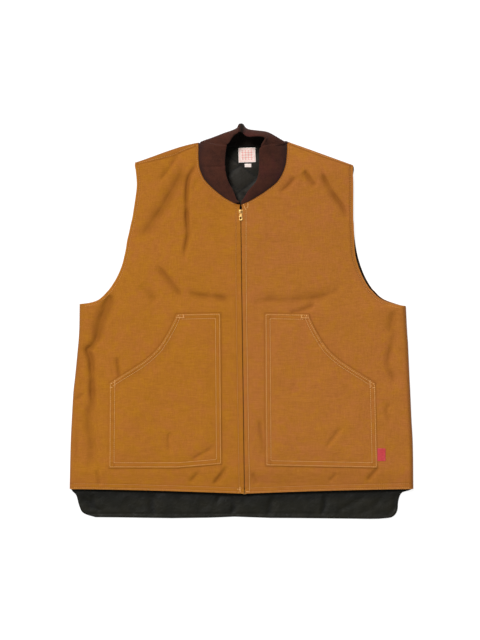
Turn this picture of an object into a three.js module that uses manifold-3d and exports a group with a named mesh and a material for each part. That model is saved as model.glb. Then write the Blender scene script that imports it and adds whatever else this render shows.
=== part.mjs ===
// A zip-front work vest of canvas with a quilted lining, lying on its back with the front up.
// Millimetres. The floor is z = 0, +Y runs from the hem to the collar, and +X is the wearer's left.
import * as THREE from "three";
import { mergeVertices } from "three/addons/utils/BufferGeometryUtils.js";
import Module from "manifold-3d";

const wasm = await Module();
wasm.setup();

// Overall sizes of the body
const HALF_WIDTH = 344;
const HEM_Y = -336;
const HEM_BOW = 10;
const TAIL_DROP = 59;
const BACK_NECK_Y = 350;
const ZIP_TOP_X = -1.5;
const ZIP_TOP_Y = 234;
const ZIP_BOTTOM_X = 6;

// Cloth and gaps
const CANVAS = 1.5;
const LINING = 3.5;
const PADDED_WALL = 3;
const POCKET_CLOTH = 1.5;
const GAP = 0.3;
const SEAM_GAP = 0.5;
const TAIL_INSET = 1.6;
const COLLAR_THICKNESS = 4;
const LINING_INSET = COLLAR_THICKNESS + 2 * GAP;

// The front's height over the floor
const ROLL_RADIUS = 9;
const CHEST_HEIGHT = 28;
const SIDE_HEIGHT = 17;
const ARM_EDGE_LIFT = 0.85;
const ARM_EDGE_RUN = 70;

// What differs between the wearer's right (sign -1) and left (sign +1)
const SIDES = {
  right: {
    sign: -1,
    underarm: new THREE.Vector2(-324, 34),
    shoulder: new THREE.Vector2(-213, 320),
    neck: new THREE.Vector2(-87, 357),
    backEase: 1.2,
  },
  left: {
    sign: 1,
    underarm: new THREE.Vector2(329, 30),
    shoulder: new THREE.Vector2(223, 314),
    neck: new THREE.Vector2(92, 359),
    backEase: 3.4,
  },
};

// Side fold from the hem up: share of the way to the underarm, share of the narrowing there
const SIDE_FLARE = [
  { up: 0, inward: 0 },
  { up: 0.24, inward: 0.04 },
  { up: 0.52, inward: 0.3 },
  { up: 0.72, inward: 0.75 },
  { up: 1, inward: 1 },
];

// Armhole from the shoulder tip: shares of the way down and of the way out to the underarm
const ARMHOLE = {
  right: [
    { down: 0, out: 0 },
    { down: 0.27, out: 0.01 },
    { down: 0.47, out: 0.114 },
    { down: 0.664, out: 0.22 },
    { down: 0.776, out: 0.307 },
    { down: 0.888, out: 0.465 },
    { down: 0.944, out: 0.6 },
    { down: 0.978, out: 0.76 },
    { down: 1, out: 1 },
  ],
  left: [
    { down: 0, out: 0 },
    { down: 0.37, out: 0 },
    { down: 0.577, out: 0.055 },
    { down: 0.704, out: 0.13 },
    { down: 0.817, out: 0.26 },
    { down: 0.9, out: 0.42 },
    { down: 0.958, out: 0.63 },
    { down: 0.986, out: 0.82 },
    { down: 1, out: 1 },
  ],
};

// Front neckline from the top of the zip: shares of the half neck's width and depth
const NECKLINE = [
  { out: 0, up: 0 },
  { out: 0.36, up: 0.11 },
  { out: 0.63, up: 0.27 },
  { out: 0.86, up: 0.47 },
  { out: 0.99, up: 0.7 },
  { out: 1.01, up: 0.88 },
  { out: 1, up: 1 },
];

// The body's height along the front, as shares of CHEST_HEIGHT at the zip and SIDE_HEIGHT at the edge
const HEIGHT_ALONG = [
  { y: HEM_Y - HEM_BOW, zip: 0.6, side: 0.86 },
  { y: HEM_Y + 36, zip: 0.78, side: 0.95 },
  { y: HEM_Y + 136, zip: 0.96, side: 1 },
  { y: 0, zip: 1, side: 1 },
  { y: ZIP_TOP_Y - 40, zip: 0.96, side: 0.94 },
  { y: ZIP_TOP_Y + 60, zip: 0.84, side: 0.88 },
  { y: BACK_NECK_Y, zip: 0.56, side: 0.82 },
];

// Main folds: ends and middle as shares of HALF_WIDTH across and of BACK_NECK_Y along,
// depth in shares of CHEST_HEIGHT (a ridge is negative) and half breadth in mm
const FOLDS = [
  { path: [[-0.285, 0.9], [-0.33, 0.72], [-0.32, 0.5], [-0.34, 0.34]], depth: 0.2, breadth: 15 },
  { path: [[-0.34, 0.86], [-0.45, 0.66], [-0.6, 0.44]], depth: 0.17, breadth: 22 },
  { path: [[-0.5, 0.31], [-0.42, 0.22], [-0.34, 0.13]], depth: 0.14, breadth: 16 },
  { path: [[-0.31, 0.17], [-0.15, 0.155], [-0.07, 0.11]], depth: 0.16, breadth: 14 },
  { path: [[-0.75, 0.13], [-0.84, -0.02], [-0.88, -0.2], [-0.9, -0.36]], depth: 0.17, breadth: 20 },
  { path: [[0.46, 0.85], [0.53, 0.73], [0.6, 0.59]], depth: 0.17, breadth: 18 },
  { path: [[0.32, 0.8], [0.23, 0.74], [0.19, 0.72]], depth: 0.1, breadth: 15 },
  { path: [[0.05, 0.12], [0.2, 0.16], [0.44, 0.2], [0.57, 0.19]], depth: 0.17, breadth: 18 },
  { path: [[0.87, -0.11], [0.84, -0.31]], depth: 0.12, breadth: 18 },
  { path: [[0.22, 0.05], [0.4, 0.08]], depth: 0.08, breadth: 14 },
];

// Grid of each front: counts of rows and columns, and the columns round the rolled edge
const HEM_ROWS = 14;
const ARM_ROWS = 6;
const NECK_ROWS = 7;
const INNER_COLUMNS = 13;
const ROLL_STEPS = [2.6, 1, 0.3, 0.06, 0];
const ZIP_SHARE_AT_UNDERARM = 0.6;
const ARM_SHARE_AT_ZIP_TOP = 0.68;

// Zip and its brass
const PLACKET_HALF_GAP = 1.2;
const CHAIN_HALF_WIDTH = 2.4;
const CHAIN_THICKNESS = 2.4;
const TAPE_OUTER = 15;
const TAPE_THICKNESS = 0.8;
const TAPE_DROP = 0.5;
const SLIDER_LENGTH = 12;
const SLIDER_WIDTH = 8.4;
const SLIDER_PLATE = 1.3;
const SLIDER_POST = 2.6;
const SLIDER_FROM_TOP = 15;
const SLIDER_EASE = 12;
const BOX_LENGTH = 9;
const BOX_WIDTH = 8;
const BOX_THICKNESS = 3.4;
const BRIDGE_WIDTH = 2.4;
const BRIDGE_WIRE = 1.2;
const BRIDGE_LENGTH = 9;
const BRIDGE_INSIDE = 2.2;
const TAB_LENGTH = 20;
const TAB_WIDTH = 7;
const TAB_THICKNESS = 1.3;
const TAB_PLAY = 0.5;
const TAB_WINDOW = 6.6;
const TAB_HOLE_LENGTH = 5;
const TAB_HOLE_WIDTH = 2.6;

// Collar
const COLLAR_STANDING = 52;
const COLLAR_BETWEEN = 2;
const COLLAR_ACROSS = 4;
const BACK_NECK_STEPS = 10;

// Pockets: the outline's corners and the top of the slant opening
const POCKETS = {
  right: {
    innerX: -42,
    outerX: -263,
    topY: 14.4,
    bottomY: -293,
    mouthTopX: -130,
    mouthBottomY: -124,
    skewInner: 2,
    skewOuter: 1,
  },
  left: {
    innerX: 47,
    outerX: 268,
    topY: 15.6,
    bottomY: -293,
    mouthTopX: 134,
    mouthBottomY: -125,
    skewInner: -1,
    skewOuter: -3,
  },
};

// Curve of a pocket's mouth: shares of the way out and of the way down, from its top end
const POCKET_MOUTH = [
  { out: 0, down: 0 },
  { out: 0.03, down: 0.08 },
  { out: 0.13, down: 0.27 },
  { out: 0.28, down: 0.49 },
  { out: 0.46, down: 0.67 },
  { out: 0.65, down: 0.79 },
  { out: 0.85, down: 0.93 },
  { out: 1, down: 1 },
];

// Labels and flag
const LABEL = { width: 36, height: 31, thickness: 0.8, x: 11, y: 332, tilt: 0.05 };
const SIZE_TAB = { width: 15, height: 9, thickness: 0.8, x: 13, gap: 0.9, tilt: 0 };
const FLAG = { width: 16, height: 26, thickness: 1, x: 279.5, y: -267 };

// Value in a short table at a place, on a smooth curve through its rows
function along(table, key, value, at) {
  const keys = table.map((row) => row[key]);
  const last = table.length - 1;
  if (at <= keys[0]) return table[0][value];
  if (at >= keys[last]) return table[last][value];
  const i = keys.findIndex((k) => k >= at) - 1;
  const share = (at - keys[i]) / (keys[i + 1] - keys[i]);
  const ease = share * share * (3 - 2 * share);
  return THREE.MathUtils.lerp(table[i][value], table[i + 1][value], (share + ease) / 2);
}

// A smooth run of points through the given ones
function smoothPath(points, count) {
  return new THREE.SplineCurve(points).getPoints(count);
}

// A polyline that is walked by its length
class Path {
  constructor(points) {
    this.points = points;
    this.lengths = [0];
    for (let i = 1; i < points.length; i++)
      this.lengths.push(this.lengths[i - 1] + points[i].distanceTo(points[i - 1]));
    this.length = this.lengths[points.length - 1];
  }

  at(distance) {
    const d = THREE.MathUtils.clamp(distance, 0, this.length);
    const i = Math.max(1, this.lengths.findIndex((l) => l >= d));
    const span = this.lengths[i] - this.lengths[i - 1];
    const share = span > 0 ? (d - this.lengths[i - 1]) / span : 0;
    return this.points[i - 1].clone().lerp(this.points[i], share);
  }
}

function zipX(y) {
  const share = (ZIP_TOP_Y - y) / (ZIP_TOP_Y - HEM_Y);
  return THREE.MathUtils.lerp(ZIP_TOP_X, ZIP_BOTTOM_X, share);
}

const SLIDER_Y = ZIP_TOP_Y - SLIDER_FROM_TOP;
const SLIDER_WIDE = SLIDER_LENGTH / 2 + 1;

// Half the gap between the two front edges, wider round the slider
function plackets(y) {
  const beyond = Math.max(Math.abs(y - SLIDER_Y) - SLIDER_WIDE, 0);
  const near = 1 - Math.min(beyond / SLIDER_EASE, 1);
  return THREE.MathUtils.lerp(PLACKET_HALF_GAP, SLIDER_WIDTH / 2 + SEAM_GAP, near);
}

function sidePath(side) {
  const hem = new THREE.Vector2(side.sign * HALF_WIDTH, HEM_Y);
  const steps = SIDE_FLARE.map(
    (row) =>
      new THREE.Vector2(
        THREE.MathUtils.lerp(hem.x, side.underarm.x, row.inward),
        THREE.MathUtils.lerp(hem.y, side.underarm.y, row.up),
      ),
  );
  return new Path(smoothPath(steps, 24));
}

function armholePath(name, ease) {
  const side = SIDES[name];
  const steps = ARMHOLE[name].map(
    (row) =>
      new THREE.Vector2(
        THREE.MathUtils.lerp(side.shoulder.x, side.underarm.x, row.out) + side.sign * ease,
        THREE.MathUtils.lerp(side.shoulder.y, side.underarm.y, row.down),
      ),
  );
  return new Path(smoothPath(steps, 40).reverse());
}

function neckPoint(side, out, up) {
  const base = ZIP_TOP_X + side.sign * plackets(ZIP_TOP_Y);
  return new THREE.Vector2(
    THREE.MathUtils.lerp(base, side.neck.x, out),
    THREE.MathUtils.lerp(ZIP_TOP_Y, side.neck.y, up),
  );
}

function necklinePath(side) {
  return new Path(smoothPath(NECKLINE.map((row) => neckPoint(side, row.out, row.up)), 36));
}

function zipEdge(side, y) {
  return new THREE.Vector2(zipX(y) + side.sign * plackets(y), y);
}

// Depth of all folds at a place on the front
function foldDepth(x, y) {
  let total = 0;
  for (const fold of FOLDS) {
    let nearest = Infinity;
    let share = 0;
    const ends = fold.path.map(([ax, ay]) => new THREE.Vector2(ax * HALF_WIDTH, ay * BACK_NECK_Y));
    for (let i = 1; i < ends.length; i++) {
      const run = ends[i].clone().sub(ends[i - 1]);
      const toHere = new THREE.Vector2(x, y).sub(ends[i - 1]);
      const t = THREE.MathUtils.clamp(toHere.dot(run) / run.lengthSq(), 0, 1);
      const distance = toHere.sub(run.multiplyScalar(t)).length();
      if (distance < nearest) {
        nearest = distance;
        share = (i - 1 + t) / (ends.length - 1);
      }
    }
    const fade = 0.45 + 0.55 * Math.sin(Math.PI * THREE.MathUtils.clamp(share, 0.1, 0.9));
    total += fold.depth * CHEST_HEIGHT * fade * Math.exp(-((nearest / fold.breadth) ** 2));
  }
  return total;
}

// Share of the full height at a distance from a rolled edge
function roll(distance) {
  const share = 1 - Math.min(distance / ROLL_RADIUS, 1);
  return Math.sqrt(1 - share * share);
}

// Both faces of one front as grids of points: rows from the hem up, columns from the zip out
function frontGrids(name) {
  const side = SIDES[name];
  const outerSide = sidePath(side);
  const armhole = armholePath(name, 0);
  const neckline = necklinePath(side);
  const zipLength = ZIP_TOP_Y - HEM_Y + HEM_BOW;
  const rollEnd = ROLL_STEPS[0] * ROLL_RADIUS;
  const rows = [];
  for (let k = 0; k <= HEM_ROWS; k++) {
    const share = k / HEM_ROWS;
    const y = HEM_Y - HEM_BOW + zipLength * ZIP_SHARE_AT_UNDERARM * share;
    const outer = outerSide.at(outerSide.length * share);
    rows.push({ inner: zipEdge(side, y), outer, arm: -1, top: Infinity });
  }
  const from = HEM_Y - HEM_BOW + zipLength * ZIP_SHARE_AT_UNDERARM;
  const stops = [];
  for (let k = 1; k <= ARM_ROWS; k++)
    stops.push(THREE.MathUtils.lerp(from, SLIDER_Y - SLIDER_WIDE - SLIDER_EASE, k / ARM_ROWS));
  stops.push(SLIDER_Y - SLIDER_WIDE, SLIDER_Y + SLIDER_WIDE, ZIP_TOP_Y);
  for (const y of stops) {
    const share = (y - from) / (ZIP_TOP_Y - from);
    const walked = armhole.length * ARM_SHARE_AT_ZIP_TOP * share;
    rows.push({ inner: zipEdge(side, y), outer: armhole.at(walked), arm: walked, top: Infinity });
  }
  const upperArm = armhole.length * (1 - ARM_SHARE_AT_ZIP_TOP) - rollEnd;
  for (let k = 1; k <= NECK_ROWS; k++) {
    const share = k / NECK_ROWS;
    const walked = armhole.length * ARM_SHARE_AT_ZIP_TOP + upperArm * share;
    const inner = neckline.at((neckline.length - rollEnd) * share);
    rows.push({ inner, outer: armhole.at(walked), arm: walked, top: k < NECK_ROWS ? Infinity : rollEnd });
  }
  for (const step of ROLL_STEPS.slice(1)) {
    const top = step * ROLL_RADIUS;
    const walked = armhole.length - top;
    rows.push({ inner: neckline.at(neckline.length - top), outer: armhole.at(walked), arm: walked, top });
  }

  const floor = CANVAS + GAP;
  const outerFace = [];
  const innerFace = [];
  for (const row of rows) {
    const width = row.inner.distanceTo(row.outer);
    const outward = row.outer.clone().sub(row.inner).normalize();
    const shares = [];
    for (let j = 0; j < INNER_COLUMNS; j++) shares.push(j / INNER_COLUMNS);
    const edge = ROLL_STEPS.map((step) => step * ROLL_RADIUS);
    const columns = shares.map((s) => width - (width - edge[0]) * s).concat(edge);
    const free = row.arm < 0 ? 0 : THREE.MathUtils.smoothstep(row.arm, 0, ARM_EDGE_RUN);
    const lift = ARM_EDGE_LIFT * free;
    const rowOut = [];
    const rowIn = [];
    for (const distance of columns) {
      const across = Math.min(distance / width, 1);
      const here = row.outer.clone().addScaledVector(outward, -distance);
      const zipHigh = along(HEIGHT_ALONG, "y", "zip", here.y) * CHEST_HEIGHT;
      const sideHigh = along(HEIGHT_ALONG, "y", "side", here.y) * SIDE_HEIGHT;
      const shape = 1 - (1 - across) ** 2.2;
      const body = THREE.MathUtils.lerp(sideHigh, zipHigh, shape) - foldDepth(here.x, here.y);
      const sideRoll = Math.max(roll(distance), lift);
      const topRoll = roll(row.top);
      rowOut.push(new THREE.Vector3(here.x, here.y, floor + (body - floor) * sideRoll * topRoll));

      const intoSide = PADDED_WALL * (1 - Math.min(distance / ROLL_RADIUS, 1));
      const intoTop = PADDED_WALL * (1 - Math.min(row.top / ROLL_RADIUS, 1));
      const wall = body - PADDED_WALL - floor;
      rowIn.push(
        new THREE.Vector3(
          here.x - outward.x * intoSide,
          here.y - outward.y * intoSide - intoTop,
          floor + wall * sideRoll * topRoll,
        ),
      );
    }
    outerFace.push(rowOut);
    innerFace.push(rowIn);
  }
  return { outerFace, innerFace, neckRow: HEM_ROWS + stops.length };
}

// A closed solid between two grids of the same size, the upper one first
function solidBetween(upper, lower, mirrored) {
  const rows = upper.length;
  const columns = upper[0].length;
  const index = (i, j, face) => face * rows * columns + i * columns + j;
  const triangles = [];
  const triangle = (a, b, c) => triangles.push(a, ...(mirrored ? [c, b] : [b, c]));
  const quad = (a, b, c, d) => {
    triangle(a, b, c);
    triangle(a, c, d);
  };
  const lastRow = rows - 1;
  const lastColumn = columns - 1;
  for (let i = 0; i < lastRow; i++) {
    for (let j = 0; j < lastColumn; j++) {
      quad(index(i, j, 0), index(i, j + 1, 0), index(i + 1, j + 1, 0), index(i + 1, j, 0));
      quad(index(i, j, 1), index(i + 1, j, 1), index(i + 1, j + 1, 1), index(i, j + 1, 1));
    }
    quad(index(i, 0, 0), index(i + 1, 0, 0), index(i + 1, 0, 1), index(i, 0, 1));
    const [here, next] = [0, 1].map((step) => [0, 1].map((face) => index(i + step, lastColumn, face)));
    quad(here[0], here[1], next[1], next[0]);
  }
  for (let j = 0; j < lastColumn; j++) {
    quad(index(0, j, 0), index(0, j, 1), index(0, j + 1, 1), index(0, j + 1, 0));
    const [here, next] = [0, 1].map((step) => [0, 1].map((face) => index(lastRow, j + step, face)));
    quad(here[0], next[0], next[1], here[1]);
  }
  return new wasm.Manifold(
    new wasm.Mesh({
      numProp: 3,
      vertProperties: new Float32Array([...upper, ...lower].flat().flatMap((p) => [p.x, p.y, p.z])),
      triVerts: new Uint32Array(triangles),
    }),
  );
}

// A three.js geometry as a manifold-3d solid
function toSolid(geometry) {
  const plain = geometry.clone();
  plain.deleteAttribute("normal");
  plain.deleteAttribute("uv");
  const merged = mergeVertices(plain, 1e-3);
  return new wasm.Manifold(
    new wasm.Mesh({
      numProp: 3,
      vertProperties: merged.attributes.position.array,
      triVerts: new Uint32Array(merged.index.array),
    }),
  );
}

function toGeometry(solid) {
  const mesh = solid.getMesh();
  const geometry = new THREE.BufferGeometry();
  geometry.setAttribute("position", new THREE.BufferAttribute(new Float32Array(mesh.vertProperties), 3));
  geometry.setIndex(new THREE.BufferAttribute(new Uint32Array(mesh.triVerts), 1));
  geometry.computeVertexNormals();
  return geometry;
}

function slab(outline, z, thickness) {
  const shape = new THREE.Shape(outline);
  const geometry = new THREE.ExtrudeGeometry(shape, { depth: thickness, bevelEnabled: false });
  return toSolid(geometry.translate(0, 0, z));
}

function block(width, length, height, x, y, z) {
  return toSolid(new THREE.BoxGeometry(width, length, height).translate(x, y, z));
}

// Rounded corners of the drop tail: shares of HALF_WIDTH inwards and of TAIL_DROP downwards
const TAIL_CORNER = {
  right: [
    { inward: 0.016, down: 0.04 },
    { inward: 0.034, down: 0.28 },
    { inward: 0.066, down: 0.76 },
    { inward: 0.1, down: 0.94 },
    { inward: 0.15, down: 1 },
  ],
  left: [
    { inward: 0.015, down: 0.07 },
    { inward: 0.064, down: 0.11 },
    { inward: 0.086, down: 0.26 },
    { inward: 0.1, down: 0.72 },
    { inward: 0.14, down: 0.93 },
    { inward: 0.2, down: 1 },
  ],
};

// The back's outline, counter-clockwise, with its armholes eased outwards and its tail lengthened
function backOutline(eased, tailExtra) {
  const { right, left } = SIDES;
  const tailCorner = (name) =>
    TAIL_CORNER[name].map((row) => {
      const out = HALF_WIDTH * (1 - row.inward) + tailExtra;
      return new THREE.Vector2(SIDES[name].sign * out, HEM_Y - row.down * (TAIL_DROP + tailExtra));
    });
  const bodySide = (name) => {
    const side = sidePath(SIDES[name]).points.filter((_, i) => i % 4 === 0);
    const ease = eased ? SIDES[name].backEase : 0;
    const arm = armholePath(name, ease).points.filter((_, i) => i % 2 === 0);
    return [...side, ...arm.slice(1)];
  };
  const neck = [];
  for (let k = 0; k <= BACK_NECK_STEPS; k++) {
    const share = k / BACK_NECK_STEPS;
    const rim = left.neck.clone().lerp(right.neck, share);
    neck.push(new THREE.Vector2(rim.x, THREE.MathUtils.lerp(BACK_NECK_Y, rim.y, (2 * share - 1) ** 2)));
  }
  return [
    ...tailCorner("right"),
    ...tailCorner("left").reverse(),
    ...bodySide("left"),
    ...neck,
    ...bodySide("right").reverse(),
  ];
}

// A flat sheet with an outline that is drawn in by an inset
function flatSheet(outline, inset, z, thickness) {
  const drawn = new wasm.CrossSection([outline.map((p) => [p.x, p.y])], "Positive");
  const section = inset > 0 ? drawn.offset(-inset, "Miter", 2) : drawn;
  return wasm.Manifold.extrude(section.simplify(0.05), thickness).translate(0, 0, z);
}

const grids = { right: frontGrids("right"), left: frontGrids("left") };

// A patch that lies on a front: the front's outer face raised, and cut to an outline
function patchOn(name, outline, thickness) {
  const rows = grids[name].outerFace.slice(0, HEM_ROWS + 3);
  const lift = (z) =>
    rows.map((row) => row.slice(0, INNER_COLUMNS + 1).map((p) => new THREE.Vector3(p.x, p.y, p.z + z)));
  const sheet = solidBetween(lift(GAP + thickness), lift(GAP), SIDES[name].sign < 0);
  return sheet.intersect(slab(outline, 0, CHEST_HEIGHT * 2));
}

function pocketOutline(name) {
  const p = POCKETS[name];
  const mouth = smoothPath(
    POCKET_MOUTH.map(
      (row) =>
        new THREE.Vector2(
          THREE.MathUtils.lerp(p.mouthTopX, p.outerX, row.out),
          THREE.MathUtils.lerp(p.topY, p.mouthBottomY, row.down),
        ),
    ),
    10,
  );
  const outline = [
    ...mouth,
    new THREE.Vector2(p.outerX + p.skewOuter, p.bottomY),
    new THREE.Vector2(p.innerX + p.skewInner, p.bottomY + 6),
    new THREE.Vector2(p.innerX, p.topY),
  ];
  return name === "right" ? outline : outline.reverse();
}

// A ribbon under a front's zip edge, between two distances from the zip's middle line
function zipRibbon(name, from, to, drop, thickness) {
  const side = SIDES[name];
  const grid = grids[name];
  const rows = grid.innerFace.slice(0, grid.neckRow + 1);
  const layer = (z) =>
    rows.map((row) => {
      const middle = zipX(row[0].y);
      const columnAt = (distance) => {
        const x = middle + side.sign * distance;
        const share = (x - row[0].x) / (row[1].x - row[0].x);
        const p = row[0].clone().lerp(row[1], Math.max(share, 0));
        return new THREE.Vector3(x, p.y, p.z - z);
      };
      return [columnAt(from), columnAt(to)];
    });
  return solidBetween(layer(drop), layer(drop + thickness), side.sign < 0);
}

// Height of the placket's top face at the zip
function placketTop(y) {
  const rows = grids.right.outerFace;
  const i = Math.max(1, rows.findIndex((row) => row[0].y >= y));
  const share = (y - rows[i - 1][0].y) / (rows[i][0].y - rows[i - 1][0].y);
  return THREE.MathUtils.lerp(rows[i - 1][0].z, rows[i][0].z, share);
}

function chainSolid() {
  const grid = grids.right;
  const rows = grid.outerFace.slice(0, grid.neckRow + 1).map((row) => row[0].y);
  const stops = rows.filter((y) => y < SLIDER_Y - SLIDER_LENGTH / 2);
  stops.push(SLIDER_Y - 1);
  stops[0] += BOX_LENGTH + GAP;
  const layer = (z) =>
    stops.map((y) =>
      [-CHAIN_HALF_WIDTH, CHAIN_HALF_WIDTH].map((x) => new THREE.Vector3(zipX(y) + x, y, placketTop(y) - z)),
    );
  const drop = PADDED_WALL + GAP;
  return solidBetween(layer(drop), layer(drop + CHAIN_THICKNESS), false);
}

// Slider: two plates joined by a post, with the bridge that holds the tab
const sliderTop = placketTop(SLIDER_Y) - PADDED_WALL + SLIDER_PLATE;
const pinY = SLIDER_Y + 1;
const tabStops = [0, 0.25, 0.5, 0.75, 1].map((share) => placketTop(pinY - TAB_LENGTH * share));
const pinHeight = Math.max(...tabStops) + TAB_THICKNESS / 2 + SEAM_GAP;

function sliderSolid() {
  const x = zipX(SLIDER_Y);
  const inside = CHAIN_THICKNESS + 2 * GAP;
  const upper = block(SLIDER_WIDTH, SLIDER_LENGTH, SLIDER_PLATE, x, SLIDER_Y, sliderTop - SLIDER_PLATE / 2);
  const low = sliderTop - SLIDER_PLATE - inside;
  const lower = block(SLIDER_WIDTH, SLIDER_LENGTH, SLIDER_PLATE, x, SLIDER_Y, low - SLIDER_PLATE / 2);
  const postLength = SLIDER_LENGTH / 2 - 1 + GAP * 2;
  const postY = SLIDER_Y + SLIDER_LENGTH / 2 - postLength / 2 + 0.2;
  const post = block(SLIDER_POST, postLength, inside + SLIDER_PLATE, x, postY, low + inside / 2);
  const top = pinHeight + BRIDGE_INSIDE / 2;
  const beam = block(BRIDGE_WIDTH, BRIDGE_LENGTH, BRIDGE_WIRE, x, pinY, top + BRIDGE_WIRE / 2);
  const legHeight = top + BRIDGE_WIRE - sliderTop + SLIDER_PLATE / 2;
  const legZ = top + BRIDGE_WIRE - legHeight / 2;
  const reach = BRIDGE_LENGTH / 2 - BRIDGE_WIRE / 2;
  const legs = [-reach, reach].map((y) => block(BRIDGE_WIDTH, BRIDGE_WIRE, legHeight, x, pinY + y, legZ));
  return wasm.Manifold.union([upper, lower, post, beam, ...legs]);
}

// Tab: a cross bar under the bridge, a window that clears it, and a plate with a hole, hung along -Y
function tabSolid() {
  const half = TAB_WIDTH / 2;
  const inside = BRIDGE_WIDTH / 2 + TAB_PLAY;
  const bar = TAB_THICKNESS / 2;
  const end = -TAB_LENGTH;
  const shoulder = end + half * 0.6;
  const outline = new THREE.Shape();
  outline.moveTo(-half, bar);
  outline.lineTo(-half, shoulder);
  outline.quadraticCurveTo(-half, end, 0, end);
  outline.quadraticCurveTo(half, end, half, shoulder);
  outline.lineTo(half, bar);
  outline.closePath();
  const window = new THREE.Path();
  window.moveTo(-inside, -bar);
  window.lineTo(inside, -bar);
  window.lineTo(inside, -TAB_WINDOW);
  window.lineTo(-inside, -TAB_WINDOW);
  window.closePath();
  const hole = new THREE.Path();
  const holeY = end + TAB_HOLE_LENGTH;
  hole.absellipse(0, holeY, TAB_HOLE_WIDTH / 2, TAB_HOLE_LENGTH / 2, 0, Math.PI * 2, true);
  outline.holes.push(window, hole);
  const settings = { depth: TAB_THICKNESS, bevelEnabled: false, curveSegments: 5 };
  return toSolid(new THREE.ExtrudeGeometry(outline, settings).translate(0, 0, -bar));
}

// The collar's back sections, from the wearer's right: seam as a share of the neck's half width,
// bulge and top edge as shares of that width across and of COLLAR_STANDING behind the neckline,
// and their heights as shares of COLLAR_STANDING
const COLLAR_BACK = [
  { seam: -0.76, bulge: [-0.7, 0.32], top: [-0.3, 0.11], bulgeHigh: 0.46, high: 0.84 },
  { seam: -0.48, bulge: [-0.44, 0.46], top: [-0.2, 0.34], bulgeHigh: 0.5, high: 0.94 },
  { seam: -0.2, bulge: [-0.19, 0.6], top: [-0.09, 0.62], bulgeHigh: 0.52, high: 1 },
  { seam: -0.03, bulge: [0, 0.5], top: [0.02, 0.865], bulgeHigh: 0.46, high: 1 },
  { seam: 0.1, bulge: [0.1, 0.38], top: [0.1, 0.66], bulgeHigh: 0.46, high: 1 },
  { seam: 0.26, bulge: [0.25, 0.34], top: [0.25, 0.6], bulgeHigh: 0.48, high: 1 },
  { seam: 0.44, bulge: [0.44, 0.36], top: [0.45, 0.5], bulgeHigh: 0.5, high: 0.99 },
  { seam: 0.62, bulge: [0.62, 0.42], top: [0.54, 0.31], bulgeHigh: 0.52, high: 0.95 },
  { seam: 0.82, bulge: [0.78, 0.32], top: [0.52, 0.1], bulgeHigh: 0.48, high: 0.86 },
];

// The collar's front sections, by the share of the neckline from the zip: how far the band reaches
// inwards and up the vest from its seam, its rise and its bulge, as shares of COLLAR_STANDING
const COLLAR_FRONT = {
  right: [
    { at: 0, inward: 0.015, up: 0.03, rise: 0.02, bulge: 0 },
    { at: 0.1, inward: 0.2, up: 0.06, rise: 0.1, bulge: 0.02 },
    { at: 0.25, inward: 0.5, up: 0.05, rise: 0.18, bulge: 0.05 },
    { at: 0.42, inward: 0.78, up: 0.02, rise: 0.25, bulge: 0.07 },
    { at: 0.6, inward: 0.94, up: -0.02, rise: 0.31, bulge: 0.09 },
    { at: 0.78, inward: 1.02, up: 0, rise: 0.4, bulge: 0.12 },
    { at: 0.9, inward: 1.06, up: 0, rise: 0.52, bulge: 0.16 },
    { at: 1, inward: 1.09, up: -0.15, rise: 0.66, bulge: 0.22 },
  ],
  left: [
    { at: 0, inward: 0.015, up: 0.03, rise: 0.02, bulge: 0 },
    { at: 0.1, inward: 0.24, up: 0.1, rise: 0.1, bulge: 0.02 },
    { at: 0.25, inward: 0.48, up: 0.14, rise: 0.18, bulge: 0.05 },
    { at: 0.42, inward: 0.72, up: 0.08, rise: 0.25, bulge: 0.07 },
    { at: 0.6, inward: 0.92, up: 0, rise: 0.31, bulge: 0.09 },
    { at: 0.78, inward: 1.06, up: 0, rise: 0.4, bulge: 0.12 },
    { at: 0.9, inward: 1.08, up: -0.03, rise: 0.52, bulge: 0.16 },
    { at: 1, inward: 1, up: -0.19, rise: 0.66, bulge: 0.22 },
  ],
};

// The collar's sections in front of one neck point, from the zip to the shoulder
function collarFront(name) {
  const { sign } = SIDES[name];
  const grid = grids[name];
  const upTo = grid.neckRow + NECK_ROWS + 2;
  const rows = [...grid.outerFace.slice(grid.neckRow, upTo), ...grid.outerFace.slice(-1)];
  const edge = rows.map((row) => row[0]);
  const flat = edge.map((p) => new THREE.Vector2(p.x, p.y));
  const { lengths, length } = new Path(flat);
  const lowest = CANVAS + LINING + GAP * 2 + COLLAR_THICKNESS;
  return edge.map((point, i) => {
    const share = (key) => along(COLLAR_FRONT[name], "at", key, lengths[i] / length) * COLLAR_STANDING;
    const run = flat[Math.min(i + 1, edge.length - 1)].clone().sub(flat[Math.max(i - 1, 0)]).normalize();
    const clear = sign * (i === 0 ? SEAM_GAP * 2 : SEAM_GAP);
    const high = Math.max(point.z, lowest);
    const seam = new THREE.Vector3(point.x - run.y * clear, point.y + run.x * clear, high);
    const reach = new THREE.Vector3(-sign * share("inward"), share("up"), share("rise"));
    const top = seam.clone().add(reach);
    const bulge = seam.clone().lerp(top, 0.5);
    bulge.z += share("bulge");
    return [seam, bulge, top];
  });
}

// The collar's sections behind the neck points, from the wearer's right to the left
function collarBack() {
  const { right, left } = SIDES;
  const seat = CANVAS + 2 * GAP;
  const across = (share) => (share < 0 ? right.neck.x * -share : left.neck.x * share);
  const place = ([x, y], high) =>
    new THREE.Vector3(across(x), BACK_NECK_Y + y * COLLAR_STANDING, seat + high * COLLAR_STANDING);
  return COLLAR_BACK.map((row) => {
    const seamY = THREE.MathUtils.lerp(BACK_NECK_Y, left.neck.y, row.seam ** 2);
    const seam = new THREE.Vector3(across(row.seam), seamY, seat);
    return [seam, place(row.bulge, row.bulgeHigh), place(row.top, row.high)];
  });
}

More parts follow.
